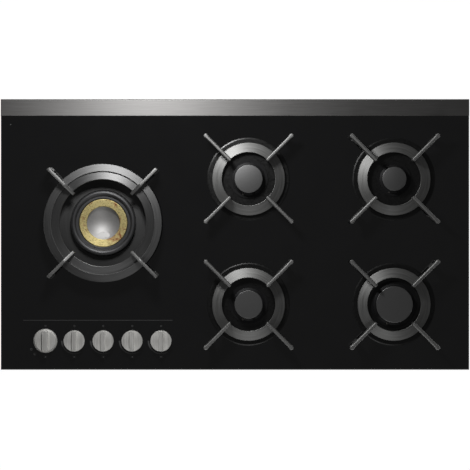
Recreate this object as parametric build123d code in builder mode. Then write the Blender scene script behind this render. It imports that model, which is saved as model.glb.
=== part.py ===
from build123d import *
import os
from collections import namedtuple
from math import cos, pi, radians, sin, sqrt

os.makedirs("parts", exist_ok=True)

# Built-in gas cooktop, in millimetres.  +X to the right, +Y to the back, +Z up.
# The origin is at the centre of the cooktop, on the worktop that its seal lies on.

# ---------------------------------------------------------------- driving dimensions

# glass plate, sealing tape and steel strip
HOB_WIDTH = 900.0
HOB_DEPTH = 520.0
GLASS_THICK = 8.0
GLASS_BEVEL = 1.2
SEAL_THICK = 2.0
SEAL_BAND = 10.0
SEAL_INSET = 3.0
TRIM_DEPTH = 32.0
TRIM_SHEET = 1.2
BOND_GAP = 0.3

# bottom box that hangs in the worktop cut-out, which the glass laps all round
CUTOUT_SIDE_LAP = 20.0
CUTOUT_FRONT_LAP = 15.0
CUTOUT_CLEARANCE = 6.0
BOX_BELOW = 48.0
BOX_SHEET = 1.0
BOX_FLANGE = 14.0
POCKET_WIDTH = 50.0
POCKET_DEPTH = 70.0
POCKET_HEIGHT = 24.0

# burner places, from the cooktop's edges and from each other, and cap radii
WOK_SIDE_INSET = 197.5
WOK_TO_MIDDLE = 278.5
RIGHT_INSET = 145.0
REAR_INSET = 153.5
FRONT_INSET = 126.0
WOK_BEHIND_MIDDLE = 35.75
REAR_MIDDLE_CAP_R = 27.0
REAR_RIGHT_CAP_R = 23.0
FRONT_MIDDLE_CAP_R = 27.0
FRONT_RIGHT_CAP_R = 35.0
WOK_RING_R = 48.5

# frame that carries the burners under the glass
FRAME_SHEET = 1.5
FRAME_LEVEL = -4.0
FRAME_TAB = 7.0
FRAME_STRIP = 96.0
FRAME_WOK_STRIP = 124.0
FRAME_GAP = 0.5

# dishes under the burners
DISH_R = 79.5
DISH_SHEET = 1.0
DISH_EDGE = 0.6
WOK_CONE_R = 63.0
WOK_CONE_RISE = 3.8
WOK_CONE_LAND = 1.0

# burner cups, and the circle of plug, probe and screws around each
PLUG_OFFSET = 2.0
PLUG_ROOM = 4.0
CUP_RIM = 3.0
CUP_RIM_BAND = 8.0
CUP_WALL = 3.0
CUP_BASE = 16.0
CUP_BOTTOM = -36.0
WOK_INNER_WALL_R = 38.0
WOK_INNER_WALL_TOP = 17.0

# flame crowns and caps
SEAT_GAP = 0.3
CROWN_LIP = 4.5
CROWN_FLANGE = 2.5
CROWN_HEIGHT = 13.0
CROWN_WALL = 5.0
CROWN_STEP = 2.5
CROWN_SKIRT_DROP = 7.0
CROWN_SKIRT_WALL = 2.0
CROWN_SKIRT_GAP = 0.5
VENTURI_R = 8.0
VENTURI_WALL = 2.5
VENTURI_BOTTOM = -6.0
PORT_WIDTH = 2.0
PORT_DEPTH = 5.0
PORT_PITCH = 7.0
CAP_THICK = 5.5
CAP_EDGE_R = 2.6
CAP_LIP_DROP = 2.5
CAP_LIP_WALL = 2.0

# wok burner top
WOK_CROWN_R = 62.0
WOK_CROWN_HOLE_R = 46.6
WOK_LIP_R = 56.0
WOK_LIP_HEIGHT = 14.0
WOK_GROOVE_R = 52.5
WOK_GROOVE_HEIGHT = 9.2
WOK_PORT_COUNT = 48
WOK_PORT_LENGTH = 4.0
BRASS_OUTER_R = 46.0
BRASS_INNER_R = 31.5
BRASS_THICK = 4.9
BRASS_EDGE = 1.4
BRASS_FALL = 1.2
BOWL_R = 32.0
BOWL_RIM_TOP = 13.5
BOWL_DEPTH = 10.5
BOWL_SHEET = 1.5
BOWL_SPIGOT_R = 8.0
PILOT_R = 13.8
PILOT_OFFSET = 30.0
PILOT_TOP = 15.5
PILOT_HOLE_R = 1.7
PILOT_HOLE_SPACING = 9.4
PILOT_HOLE_INSET = 1.0
PILOT_HOLE_DEPTH = 8.0

# spark plugs and flame probes
PLUG_ANGLE = 250.0
PROBE_ANGLE = 290.0
PLUG_R = 3.0
PLUG_BOTTOM = -20.0
PIN_R = 1.0
PIN_RISE = 8.0
WOK_PIN_RISE = 11.0
PROBE_R = 2.0
PROBE_TIP_R = 1.5
PROBE_RISE = 9.0
PROBE_TIP = 2.5
PROBE_BOTTOM = -12.0
PROBE_COLLAR_R = 3.2
PROBE_COLLAR = 6.0
HOLE_GAP = 0.8
SNUG_GAP = 0.05

# screws
SCREW_R = 2.0
SCREW_HEAD_R = 3.6
SCREW_HEAD = 1.6
SCREW_SINK = 1.9
SCREW_ANGLES = (90.0, 210.0, 330.0)
SCREW_PAST_FRAME = 3.0

# injectors
INJECTOR_R = 3.0
INJECTOR_SHANK = 5.5
INJECTOR_HEX_R = 4.6
INJECTOR_HEAD = 9.0
INJECTOR_ORIFICE_R = 0.6
WOK_INJECTOR_OFFSET = 18.0

# small pan supports
RING_INNER_R = 51.0
RING_OUTER_R = 70.0
RING_RISE = 5.5
RING_INNER_THICK = 9.0
RING_OUTER_THICK = 3.6
RING_BEVEL = 0.8
ARM_INNER_R = 48.6
ARM_OUTER_R = 120.0
ARM_WIDTH = 7.0
ARM_TIP_WIDTH = 9.0
ARM_RISE = 42.0
ARM_TIP_DEPTH = 7.0
ARM_ROOF = 2.4
LEG_INSET = 17.0
LEG_WIDTH = 8.0
ARM_COUNT = 4
ARM_START = 45.0

# wok pan support
WOK_RING_OUTER_R = 113.0
WOK_RING_STEP_R = 98.4
WOK_RING_INNER_R = 83.0
WOK_RING_RISE = 38.0
WOK_RING_THICK = 8.0
WOK_RING_FALL = 3.6
WOK_BAND_RISE = 36.4
WOK_BAND_FALL = 2.4
WOK_ARM_INNER_R = 77.0
WOK_ARM_OUTER_R = 147.0
WOK_ARM_THICK = 4.5
WOK_ARM_INNER_RISE = 43.0
WOK_ARM_KNEE_R = 101.0
WOK_ARM_KNEE_RISE = 56.0
WOK_ARM_TIP_RISE = 55.0
WOK_ARM_SINK = 2.0
WOK_ARM_DEEPEN = 5.0
WOK_LEG_LENGTH = 12.0
WOK_LEG_WIDTH = 11.0
WOK_LEG_TOP_LENGTH = 8.0

# rubber feet of the pan supports
FOOT_R = 3.4
FOOT_THICK = 2.7
FOOT_STEM_R = 1.5
FOOT_STEM = 3.5

# knobs, stems and the rings around them
KNOB_FRONT_INSET = 55.8
KNOB_SIDE_INSET = 86.0
KNOB_SPACING = 55.5
KNOB_COUNT = 5
KNOB_R = 20.1
KNOB_DISC = 9.9
KNOB_GRIP_WIDTH = 8.0
KNOB_GRIP_RISE = 8.0
KNOB_EDGE = 1.0
KNOB_RECESS_R = 14.0
KNOB_RECESS = 5.0
WOK_KNOB_R = 23.4
WOK_KNOB_COLLAR = 4.0
WOK_KNOB_TAPER = 20.0
WOK_KNOB_GRIP_WIDTH = 11.0
PUSH_TRAVEL = 3.5
PUSH_CLEARANCE = 0.6
STEM_R = 4.0
STEM_FLAT = 3.0
STEM_FLAT_START = 16.0
STEM_TOP = 28.0
STEM_BOTTOM = -19.0
STEM_COLLAR_R = 6.0
STEM_COLLAR = 1.7
STEM_GAP = 0.3
BEZEL_R = 12.0
BEZEL_RISE = 1.5
KNOB_HOLE_R = 8.0
BEZEL_GAP = 0.2

# gas valves
VALVE_WIDTH = 28.0
VALVE_TOP = -16.0
VALVE_BOTTOM = -38.0
TURRET_R = 9.5
TURRET_TOP = -1.0
TURRET_LID = 1.5
PLUG_BORE_R = 7.05
COCK_R = 7.0
COCK_TOP = -15.0
COCK_BOTTOM = -31.0
COCK_SLOT_FLOOR = -24.0
PASSAGE_R = 1.8
SPRING_COIL_R = 5.5
SPRING_WIRE_R = 0.45
SPRING_TURNS = 4.0
SPRING_END_GAP = 0.2
SWITCH_WIDTH = 20.0
SWITCH_DEPTH = 7.0
SWITCH_HEIGHT = 9.0
BRACKET_SHEET = 1.5
BRACKET_DEPTH = 38.0
BRACKET_END = 17.0

# gas rail, tubes and inlet
GAS_LEVEL = -28.0
RAIL_BEFORE_STEMS = 21.8
RAIL_R = 7.0
RAIL_BORE_R = 5.5
RAIL_START = 31.0
RAIL_BEND = 30.0
RAIL_RISE_SETBACK = 85.0
RAIL_RISE_LENGTH = 36.0
INLET_INSET = 34.0
INLET_LEVEL = -13.0
INLET_BLOCK = 26.0
INLET_SOCKET = 8.0
INLET_THREAD_R = 10.4775
INLET_BORE_R = 7.0
INLET_NECK_R = 12.0
INLET_NECK_PAST_NUT = 0.5
INLET_RELIEF_R = 9.5
INLET_RELIEF = 1.5
INLET_NUT_R = 17.0
INLET_NUT = 5.0
INLET_END = -44.0
TUBE_R = 3.0
TUBE_BORE_R = 2.0
TUBE_BEND = 12.0
TUBE_SOCKET = 5.0
WOK_TUBE_OFFSET = 7.0
WOK_ENTRY_OFFSET = 14.0
REAR_MIDDLE_LANE = 30.25
REAR_RIGHT_LANE = 46.25
FRONT_RIGHT_LANE = 38.0
FRONT_RIGHT_TURN = 65.0

# electrical parts
GENERATOR_FROM_MIDDLE = 124.0
GENERATOR_SETBACK = 46.5
GENERATOR_WIDTH = 60.0
GENERATOR_DEPTH = 44.0
GENERATOR_HEIGHT = 24.0
LEAD_R = 1.2
LEAD_LEVEL = -43.0
LEAD_BEND = 6.0
LEAD_PITCH = 10.0
TERMINAL_WIDTH = 48.0
TERMINAL_DEPTH = 40.0
TERMINAL_HEIGHT = 25.0
TERMINAL_INSET = 27.0
GLAND_R = 8.0
GLAND_REACH = 9.0
GLAND_BORE_R = 3.6
GLAND_BORE_LENGTH = 24.0
GLAND_LEVEL = -35.0
GLAND_INSET = 15.0

# worktop clamps
CLAMP_SHEET = 1.5
CLAMP_WIDTH = 20.0
CLAMP_REACH = 20.0
CLAMP_HEIGHT = 27.0
CLAMP_INSET = 89.0
WORKTOP_THICK = 38.0
CLAMP_SCREW_LEVEL = -22.0
CLAMP_SCREW_LENGTH = 8.0

EDGE_ROUND = 1.5

# ---------------------------------------------------------------- derived levels

GLASS_BOTTOM = SEAL_THICK
GLASS_TOP = SEAL_THICK + GLASS_THICK
DISH_TOP = GLASS_TOP + DISH_SHEET
RIM_TOP = DISH_TOP + CUP_RIM
CROWN_BASE = RIM_TOP + SEAT_GAP
CROWN_TOP = CROWN_BASE + CROWN_HEIGHT
CAP_BASE = CROWN_TOP + SEAT_GAP
CUP_FLOOR = CUP_BOTTOM + CUP_BASE
FRAME_BOTTOM = FRAME_LEVEL - FRAME_SHEET
BOX_WIDTH = HOB_WIDTH - 2 * (CUTOUT_SIDE_LAP + CUTOUT_CLEARANCE)
BOX_DEPTH = HOB_DEPTH - 2 * (CUTOUT_FRONT_LAP + CUTOUT_CLEARANCE)
BOX_BOTTOM = -BOX_BELOW
BOX_FLOOR = BOX_BOTTOM + BOX_SHEET
POCKET_ROOF = BOX_BOTTOM + POCKET_HEIGHT
POCKET_SIDE_X = BOX_WIDTH / 2 - POCKET_WIDTH
KNOB_BOTTOM = GLASS_TOP + PUSH_TRAVEL + PUSH_CLEARANCE
KNOB_FACE = KNOB_BOTTOM + KNOB_DISC
SUPPORT_FOOT_TOP = GLASS_TOP + SEAT_GAP + FOOT_THICK
BRASS_BASE = WOK_INNER_WALL_TOP + SEAT_GAP

# ---------------------------------------------------------------- derived places

WOK_X = -HOB_WIDTH / 2 + WOK_SIDE_INSET
MIDDLE_X = WOK_X + WOK_TO_MIDDLE
RIGHT_X = HOB_WIDTH / 2 - RIGHT_INSET
REAR_Y = HOB_DEPTH / 2 - REAR_INSET
FRONT_Y = -HOB_DEPTH / 2 + FRONT_INSET
BETWEEN_ROWS_Y = (REAR_Y + FRONT_Y) / 2
WOK_Y = BETWEEN_ROWS_Y + WOK_BEHIND_MIDDLE
LEG_R = ARM_OUTER_R - LEG_INSET
KNOB_Y = -HOB_DEPTH / 2 + KNOB_FRONT_INSET
KNOB_FIRST_X = -HOB_WIDTH / 2 + KNOB_SIDE_INSET
RAIL_Y = KNOB_Y - RAIL_BEFORE_STEMS
RAIL_SIDE_X = (BOX_WIDTH - POCKET_WIDTH) / 2
INLET_Y = BOX_DEPTH / 2 - INLET_INSET
RAIL_RISE_Y = INLET_Y - RAIL_RISE_SETBACK
REAR_MIDDLE_LANE_Y = BETWEEN_ROWS_Y - REAR_MIDDLE_LANE
REAR_RIGHT_LANE_Y = BETWEEN_ROWS_Y - REAR_RIGHT_LANE
FRONT_RIGHT_LANE_Y = FRONT_Y - FRONT_RIGHT_LANE
FRONT_RIGHT_TURN_X = RIGHT_X - FRONT_RIGHT_TURN
GENERATOR_X = MIDDLE_X + GENERATOR_FROM_MIDDLE
GENERATOR_Y = REAR_Y - GENERATOR_SETBACK
TERMINAL_Y = BOX_DEPTH / 2 - TERMINAL_INSET
GLAND_Y = BOX_DEPTH / 2 - GLAND_INSET
CLAMP_Y = BOX_DEPTH / 2 - CLAMP_INSET

# ---------------------------------------------------------------- places of burners and knobs

Burner = namedtuple("Burner", "name x y ring_r cap_r pin_rise")


def small_burner(name, x, y, cap_r):
    """A round burner with a cap, whose plug and screws stand on a circle just outside the cap."""
    return Burner(name, x, y, cap_r + PLUG_OFFSET, cap_r, PIN_RISE)


REAR_MIDDLE = small_burner("rear_middle", MIDDLE_X, REAR_Y, REAR_MIDDLE_CAP_R)
REAR_RIGHT = small_burner("rear_right", RIGHT_X, REAR_Y, REAR_RIGHT_CAP_R)
FRONT_MIDDLE = small_burner("front_middle", MIDDLE_X, FRONT_Y, FRONT_MIDDLE_CAP_R)
FRONT_RIGHT = small_burner("front_right", RIGHT_X, FRONT_Y, FRONT_RIGHT_CAP_R)
WOK = Burner("wok", WOK_X, WOK_Y, WOK_RING_R, WOK_RING_R, WOK_PIN_RISE)
SMALL_BURNERS = (REAR_MIDDLE, REAR_RIGHT, FRONT_MIDDLE, FRONT_RIGHT)
BURNERS = SMALL_BURNERS + (WOK,)
KNOB_XS = tuple(KNOB_FIRST_X + n * KNOB_SPACING for n in range(KNOB_COUNT))


def level(place, z):
    """Horizontal plane centred on a burner."""
    return Plane((place.x, place.y, z))


def upright(x, y, angle=0.0):
    """Vertical plane through a point: its x runs outwards at the angle, its y runs up."""
    c, s = cos(radians(angle)), sin(radians(angle))
    return Plane(origin=(x, y, 0), x_dir=(c, s, 0), z_dir=(s, -c, 0))


def axis_of(place):
    """Vertical axis through a burner."""
    return Axis((place.x, place.y, 0), (0, 0, 1))


def around(radius, angle):
    """Point on a circle about the sketch's own origin."""
    return (radius * cos(radians(angle)), radius * sin(radians(angle)))


def cup_r(burner):
    """Outer radius of a burner's cup under the glass."""
    return burner.ring_r - PLUG_ROOM


def hole_r(burner):
    """Radius of a burner's hole in the glass and in its dish."""
    return burner.ring_r + PLUG_ROOM


def write_part(piece, name):
    """Label a finished piece and write it as one STEP file."""
    piece.part.label = name
    export_step(piece.part, f"parts/{name}.step")


# ---------------------------------------------------------------- glass, seal, steel strip

GLASS_DEPTH = HOB_DEPTH - TRIM_SHEET - BOND_GAP
GLASS_CENTRE_Y = -(TRIM_SHEET + BOND_GAP) / 2


def make_glass_top():
    """Black glass plate with bevelled edges, a hole for each burner and one for each knob."""
    with BuildPart() as glass_top:
        with BuildSketch(Plane((0, GLASS_CENTRE_Y, GLASS_BOTTOM))):
            Rectangle(HOB_WIDTH, GLASS_DEPTH)
        extrude(amount=GLASS_THICK)
        chamfer(glass_top.faces().sort_by(Axis.Z)[-1].edges(), GLASS_BEVEL)
        with BuildSketch(Plane.XY.offset(GLASS_BOTTOM)):
            for burner in BURNERS:
                with Locations((burner.x, burner.y)):
                    Circle(hole_r(burner))
            with Locations(*[(x, KNOB_Y) for x in KNOB_XS]):
                Circle(KNOB_HOLE_R)
        extrude(amount=GLASS_THICK, mode=Mode.SUBTRACT)
    write_part(glass_top, "glass_top")


def make_glass_seal():
    """Foam sealing tape laid round the underside of the glass."""
    with BuildPart() as glass_seal:
        with BuildSketch():
            Rectangle(HOB_WIDTH - 2 * SEAL_INSET, HOB_DEPTH - 2 * SEAL_INSET)
            inset = 2 * (SEAL_INSET + SEAL_BAND)
            Rectangle(HOB_WIDTH - inset, HOB_DEPTH - inset, mode=Mode.SUBTRACT)
        extrude(amount=SEAL_THICK)
    write_part(glass_seal, "glass_seal")


def make_rear_trim():
    """Folded steel strip that lies on the back edge of the glass and wraps down over it."""
    back = HOB_DEPTH / 2
    top = GLASS_TOP + TRIM_SHEET
    with BuildPart() as rear_trim:
        with BuildSketch(Plane.YZ.offset(-HOB_WIDTH / 2)):
            with BuildLine():
                Polyline(
                    (back - TRIM_DEPTH, GLASS_TOP),
                    (back - TRIM_SHEET, GLASS_TOP),
                    (back - TRIM_SHEET, GLASS_BOTTOM),
                    (back, GLASS_BOTTOM),
                    (back, top),
                    (back - TRIM_DEPTH, top),
                    close=True,
                )
            make_face()
        extrude(amount=HOB_WIDTH)
        outer = rear_trim.edges().filter_by(Axis.X).group_by(Axis.Z)[-1]
        chamfer(outer, TRIM_SHEET / 2)
    write_part(rear_trim, "rear_trim")


# ---------------------------------------------------------------- bottom box

def box_outline(inset):
    """Rectangle of the bottom box, drawn in by an inset on all sides."""
    Rectangle(BOX_WIDTH - 2 * inset, BOX_DEPTH - 2 * inset)


def pocket_outline(grow, mode):
    """Rectangle of the inlet pocket in the rear right corner, grown into the box."""
    width, depth = POCKET_WIDTH + grow, POCKET_DEPTH + grow
    with Locations((BOX_WIDTH / 2 - width / 2, BOX_DEPTH / 2 - depth / 2)):
        Rectangle(width, depth, mode=mode)


def make_bottom_box():
    """Pressed steel box with an inward flange bonded under the glass and a pocket for the inlet."""
    roof_top = POCKET_ROOF + BOX_SHEET
    flange_bottom = GLASS_BOTTOM - BOX_SHEET
    with BuildPart() as bottom_box:
        with BuildSketch(Plane.XY.offset(BOX_BOTTOM)):
            box_outline(0)
        extrude(amount=GLASS_BOTTOM - BOX_BOTTOM)
        with BuildSketch(Plane.XY.offset(BOX_FLOOR)):
            box_outline(BOX_SHEET)
            pocket_outline(BOX_SHEET, Mode.SUBTRACT)
        extrude(amount=roof_top - BOX_FLOOR, mode=Mode.SUBTRACT)
        with BuildSketch(Plane.XY.offset(roof_top)):
            box_outline(BOX_SHEET)
        extrude(amount=flange_bottom - roof_top, mode=Mode.SUBTRACT)
        with BuildSketch(Plane.XY.offset(flange_bottom)):
            box_outline(BOX_FLANGE)
        extrude(amount=BOX_SHEET, mode=Mode.SUBTRACT)
        with BuildSketch(Plane.XY.offset(BOX_BOTTOM)):
            pocket_outline(0, Mode.ADD)
        extrude(amount=POCKET_HEIGHT, mode=Mode.SUBTRACT)
        # hole for the inlet in the pocket's roof
        with BuildSketch(Plane((RAIL_SIDE_X, INLET_Y, POCKET_ROOF))):
            Circle(INLET_NECK_R + SNUG_GAP)
        extrude(amount=BOX_SHEET, mode=Mode.SUBTRACT)
        # hole for the cord gland in the pocket's left wall
        with BuildSketch(Plane.YZ.offset(POCKET_SIDE_X - BOX_SHEET)):
            with Locations((GLAND_Y, GLAND_LEVEL)):
                Circle(GLAND_R + SNUG_GAP)
        extrude(amount=BOX_SHEET, mode=Mode.SUBTRACT)
        # holes for the clamp screws in both side walls
        with BuildSketch(Plane.YZ.offset(-BOX_WIDTH / 2)):
            with Locations((CLAMP_Y, CLAMP_SCREW_LEVEL), (-CLAMP_Y, CLAMP_SCREW_LEVEL)):
                Circle(SCREW_R + SNUG_GAP)
        extrude(amount=BOX_WIDTH, mode=Mode.SUBTRACT)
    write_part(bottom_box, "bottom_box")


# ---------------------------------------------------------------- frame under the burners

def make_burner_frame():
    """Sheet steel frame under the glass: one strip for each column of burners and one for the wok."""
    inner_width = BOX_WIDTH - 2 * BOX_SHEET
    inner_depth = BOX_DEPTH - 2 * BOX_SHEET
    with BuildPart() as burner_frame:
        with BuildSketch(Plane.XY.offset(FRAME_BOTTOM)):
            for x in (MIDDLE_X, RIGHT_X):
                with Locations((x, 0)):
                    Rectangle(FRAME_STRIP, inner_depth)
            wok_length = MIDDLE_X + inner_width / 2
            with Locations((MIDDLE_X - wok_length / 2, WOK_Y)):
                Rectangle(wok_length, FRAME_WOK_STRIP)
            with Locations(((MIDDLE_X + RIGHT_X) / 2, BETWEEN_ROWS_Y)):
                Rectangle(RIGHT_X - MIDDLE_X, FRAME_STRIP / 2)
            for burner in BURNERS:
                with Locations((burner.x, burner.y)):
                    Circle(cup_r(burner) + FRAME_GAP, mode=Mode.SUBTRACT)
                for angle in (PLUG_ANGLE, PROBE_ANGLE):
                    px, py = around(burner.ring_r, angle)
                    with Locations((burner.x + px, burner.y + py)):
                        Circle(PROBE_COLLAR_R + FRAME_GAP, mode=Mode.SUBTRACT)
                for angle in SCREW_ANGLES:
                    px, py = around(burner.ring_r, angle)
                    with Locations((burner.x + px, burner.y + py)):
                        Circle(SCREW_R + SNUG_GAP, mode=Mode.SUBTRACT)
        extrude(amount=FRAME_SHEET)
        with BuildSketch(Plane.XY.offset(FRAME_LEVEL - FRAME_TAB)):
            for x in (MIDDLE_X, RIGHT_X):
                for side in (-1, 1):
                    with Locations((x, side * (inner_depth - FRAME_SHEET) / 2)):
                        Rectangle(FRAME_STRIP, FRAME_SHEET)
            with Locations(((FRAME_SHEET - inner_width) / 2, WOK_Y)):
                Rectangle(FRAME_SHEET, FRAME_WOK_STRIP)
        extrude(amount=FRAME_TAB)
    write_part(burner_frame, "burner_frame")


# ---------------------------------------------------------------- dishes and cups

def make_burner_dishes():
    """Enamelled discs that lie on the glass, one round each burner; the wok burner's rises to a low cone."""
    cone_top = DISH_TOP + WOK_CONE_RISE
    cone = ((WOK_CONE_R + WOK_CONE_LAND, cone_top), (WOK_CONE_R, cone_top), (WOK_CONE_R, DISH_TOP))
    with BuildPart() as burner_dishes:
        for burner in BURNERS:
            with BuildSketch(upright(burner.x, burner.y)):
                with BuildLine():
                    Polyline(
                        (hole_r(burner), GLASS_TOP),
                        (DISH_R, GLASS_TOP),
                        (DISH_R, DISH_TOP - DISH_EDGE),
                        (DISH_R - 2 * DISH_EDGE, DISH_TOP),
                        *(cone if burner is WOK else ()),
                        (hole_r(burner), DISH_TOP),
                        close=True,
                    )
                make_face()
            revolve(axis=axis_of(burner))
    write_part(burner_dishes, "burner_dishes")


def cut_around(burner, z, depth, radius, angles):
    """Cut round holes down from a level, on the circle of plug, probe and screws."""
    with BuildSketch(level(burner, z)) as holes:
        with Locations(*[around(burner.ring_r, angle) for angle in angles]):
            Circle(radius)
    extrude(holes.sketch, amount=-depth, mode=Mode.SUBTRACT)


def injector_places(burner):
    """Where the injectors stand in a burner's cup, from the burner's centre."""
    if burner is WOK:
        return [(-WOK_INJECTOR_OFFSET, 0), (WOK_INJECTOR_OFFSET, 0)]
    return [(0, 0)]


def cup_entries():
    """Gas entries of the cups: burner, sideways shift, and the angle from which the tube comes in."""
    return (
        (REAR_MIDDLE, 0, 270.0),
        (REAR_RIGHT, 0, 270.0),
        (FRONT_MIDDLE, 0, 180.0),
        (FRONT_RIGHT, 0, 180.0),
        (WOK, -WOK_ENTRY_OFFSET, 180.0),
        (WOK, WOK_ENTRY_OFFSET, 180.0),
    )


def entry_reach(burner, shift):
    """Distance from a cup's centre line to the end of a tube in its socket."""
    return sqrt(cup_r(burner) ** 2 - shift**2) - TUBE_SOCKET


def make_burner_cups():
    """Cast cups that hang through the glass: rim on the dish, wall, and a thick base for the gas."""
    with BuildPart() as burner_cups:
        for burner in BURNERS:
            with BuildSketch(level(burner, DISH_TOP)):
                Circle(burner.ring_r + CUP_RIM_BAND)
            extrude(amount=CUP_RIM)
            with BuildSketch(level(burner, CUP_BOTTOM)):
                Circle(cup_r(burner))
            extrude(amount=DISH_TOP - CUP_BOTTOM)
            with BuildSketch(level(burner, CUP_FLOOR)):
                Circle(cup_r(burner) - CUP_WALL)
            extrude(amount=RIM_TOP - CUP_FLOOR, mode=Mode.SUBTRACT)
            cut_around(burner, RIM_TOP, CUP_RIM, PLUG_R + SNUG_GAP, [PLUG_ANGLE])
            cut_around(burner, RIM_TOP, CUP_RIM, PROBE_R + SNUG_GAP, [PROBE_ANGLE])
            cut_around(burner, RIM_TOP, CUP_RIM, SCREW_R + SNUG_GAP, SCREW_ANGLES)
            cut_around(burner, RIM_TOP, SCREW_SINK, SCREW_HEAD_R + FRAME_GAP, SCREW_ANGLES)
            with BuildSketch(level(burner, CUP_FLOOR)):
                with Locations(*injector_places(burner)):
                    Circle(INJECTOR_R + SNUG_GAP)
            extrude(amount=-INJECTOR_SHANK - SNUG_GAP, mode=Mode.SUBTRACT)
        # inner wall of the wok burner, open at the front for the pilot
        with BuildSketch(level(WOK, CUP_FLOOR)):
            Circle(WOK_INNER_WALL_R)
            Circle(WOK_INNER_WALL_R - CUP_WALL, mode=Mode.SUBTRACT)
            with Locations((0, -PILOT_OFFSET)):
                Circle(PILOT_R + SEAT_GAP, mode=Mode.SUBTRACT)
        extrude(amount=WOK_INNER_WALL_TOP - CUP_FLOOR)
        for burner, shift, angle in cup_entries():
            with BuildSketch(upright(burner.x, burner.y, angle + 90).offset(
                    entry_reach(burner, shift))):
                with Locations((shift, GAS_LEVEL)):
                    Circle(TUBE_R + SNUG_GAP)
            extrude(amount=cup_r(burner), mode=Mode.SUBTRACT)
    write_part(burner_cups, "burner_cups")


def make_injectors():
    """Brass injectors: a threaded shank in the cup's base, a hexagon and a fine orifice."""
    with BuildPart() as injectors:
        for burner in BURNERS:
            for place in injector_places(burner):
                with BuildSketch(level(burner, CUP_FLOOR)):
                    with Locations(place):
                        Circle(INJECTOR_R)
                extrude(amount=-INJECTOR_SHANK)
                with BuildSketch(level(burner, CUP_FLOOR)):
                    with Locations(place):
                        RegularPolygon(INJECTOR_HEX_R, 6)
                extrude(amount=INJECTOR_HEAD)
                with BuildSketch(level(burner, CUP_FLOOR - INJECTOR_SHANK)):
                    with Locations(place):
                        Circle(INJECTOR_ORIFICE_R)
                extrude(amount=INJECTOR_SHANK + INJECTOR_HEAD, mode=Mode.SUBTRACT)
    write_part(injectors, "injectors")


# ---------------------------------------------------------------- plugs, probes, screws

def make_spark_insulators():
    """Ceramic bodies of the spark plugs, up through the cup rims."""
    with BuildPart() as spark_insulators:
        for burner in BURNERS:
            with BuildSketch(level(burner, PLUG_BOTTOM)):
                with Locations(around(burner.ring_r, PLUG_ANGLE)):
                    Circle(PLUG_R)
            extrude(amount=RIM_TOP - PLUG_BOTTOM)
    write_part(spark_insulators, "spark_insulators")


def make_spark_pins():
    """Steel spark pins that stand on the ceramic beside the flame ports."""
    with BuildPart() as spark_pins:
        for burner in BURNERS:
            with BuildSketch(level(burner, RIM_TOP)):
                with Locations(around(burner.ring_r, PLUG_ANGLE)):
                    Circle(PIN_R)
            extrude(amount=burner.pin_rise)
    write_part(spark_pins, "spark_pins")


def make_flame_probes():
    """Thermocouples that feel the flame, each with a collar under its cup's rim."""
    with BuildPart() as flame_probes:
        for burner in BURNERS:
            steps = (
                (PROBE_BOTTOM, PROBE_R, RIM_TOP + PROBE_RISE - PROBE_TIP - PROBE_BOTTOM),
                (DISH_TOP - PROBE_COLLAR, PROBE_COLLAR_R, PROBE_COLLAR),
                (RIM_TOP + PROBE_RISE - PROBE_TIP, PROBE_TIP_R, PROBE_TIP),
            )
            for z, radius, height in steps:
                with BuildSketch(level(burner, z)):
                    with Locations(around(burner.ring_r, PROBE_ANGLE)):
                        Circle(radius)
                extrude(amount=height)
    write_part(flame_probes, "flame_probes")


def make_screws():
    """Burner screws through the cup rims into the frame, and clamp screws in the side walls."""
    head_bottom = RIM_TOP - SCREW_SINK
    with BuildPart() as screws:
        for burner in BURNERS:
            with BuildSketch(level(burner, head_bottom)):
                with Locations(*[around(burner.ring_r, a) for a in SCREW_ANGLES]):
                    Circle(SCREW_HEAD_R)
            extrude(amount=SCREW_HEAD)
            with BuildSketch(level(burner, FRAME_BOTTOM - SCREW_PAST_FRAME)):
                with Locations(*[around(burner.ring_r, a) for a in SCREW_ANGLES]):
                    Circle(SCREW_R)
            extrude(amount=head_bottom - FRAME_BOTTOM + SCREW_PAST_FRAME)
        for side in (-1, 1):
            seat = side * (BOX_WIDTH / 2 + CLAMP_SHEET)
            with BuildSketch(Plane.YZ.offset(seat)):
                with Locations((CLAMP_Y, CLAMP_SCREW_LEVEL), (-CLAMP_Y, CLAMP_SCREW_LEVEL)):
                    Circle(SCREW_HEAD_R)
            extrude(amount=side * SCREW_HEAD)
            with BuildSketch(Plane.YZ.offset(seat)):
                with Locations((CLAMP_Y, CLAMP_SCREW_LEVEL), (-CLAMP_Y, CLAMP_SCREW_LEVEL)):
                    Circle(SCREW_R)
            extrude(amount=-side * CLAMP_SCREW_LENGTH)
    write_part(screws, "screws")


def make_clamp_brackets():
    """Angle brackets screwed to the side walls, whose feet grip the worktop from below."""
    foot_top = -WORKTOP_THICK
    with BuildPart() as clamp_brackets:
        for side in (-1, 1):
            wall = side * BOX_WIDTH / 2
            for y in (-CLAMP_Y, CLAMP_Y):
                with BuildSketch(Plane((wall + side * CLAMP_SHEET / 2, y, foot_top - CLAMP_SHEET))):
                    Rectangle(CLAMP_SHEET, CLAMP_WIDTH)
                extrude(amount=CLAMP_HEIGHT)
                with BuildSketch(Plane((wall + side * CLAMP_REACH / 2, y, foot_top - CLAMP_SHEET))):
                    Rectangle(CLAMP_REACH, CLAMP_WIDTH)
                extrude(amount=CLAMP_SHEET)
            with BuildSketch(Plane.YZ.offset(wall)):
                with Locations((CLAMP_Y, CLAMP_SCREW_LEVEL), (-CLAMP_Y, CLAMP_SCREW_LEVEL)):
                    Circle(SCREW_R + SNUG_GAP)
            extrude(amount=side * CLAMP_SHEET, mode=Mode.SUBTRACT)
    write_part(clamp_brackets, "clamp_brackets")


# ---------------------------------------------------------------- flame crowns and caps

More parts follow.
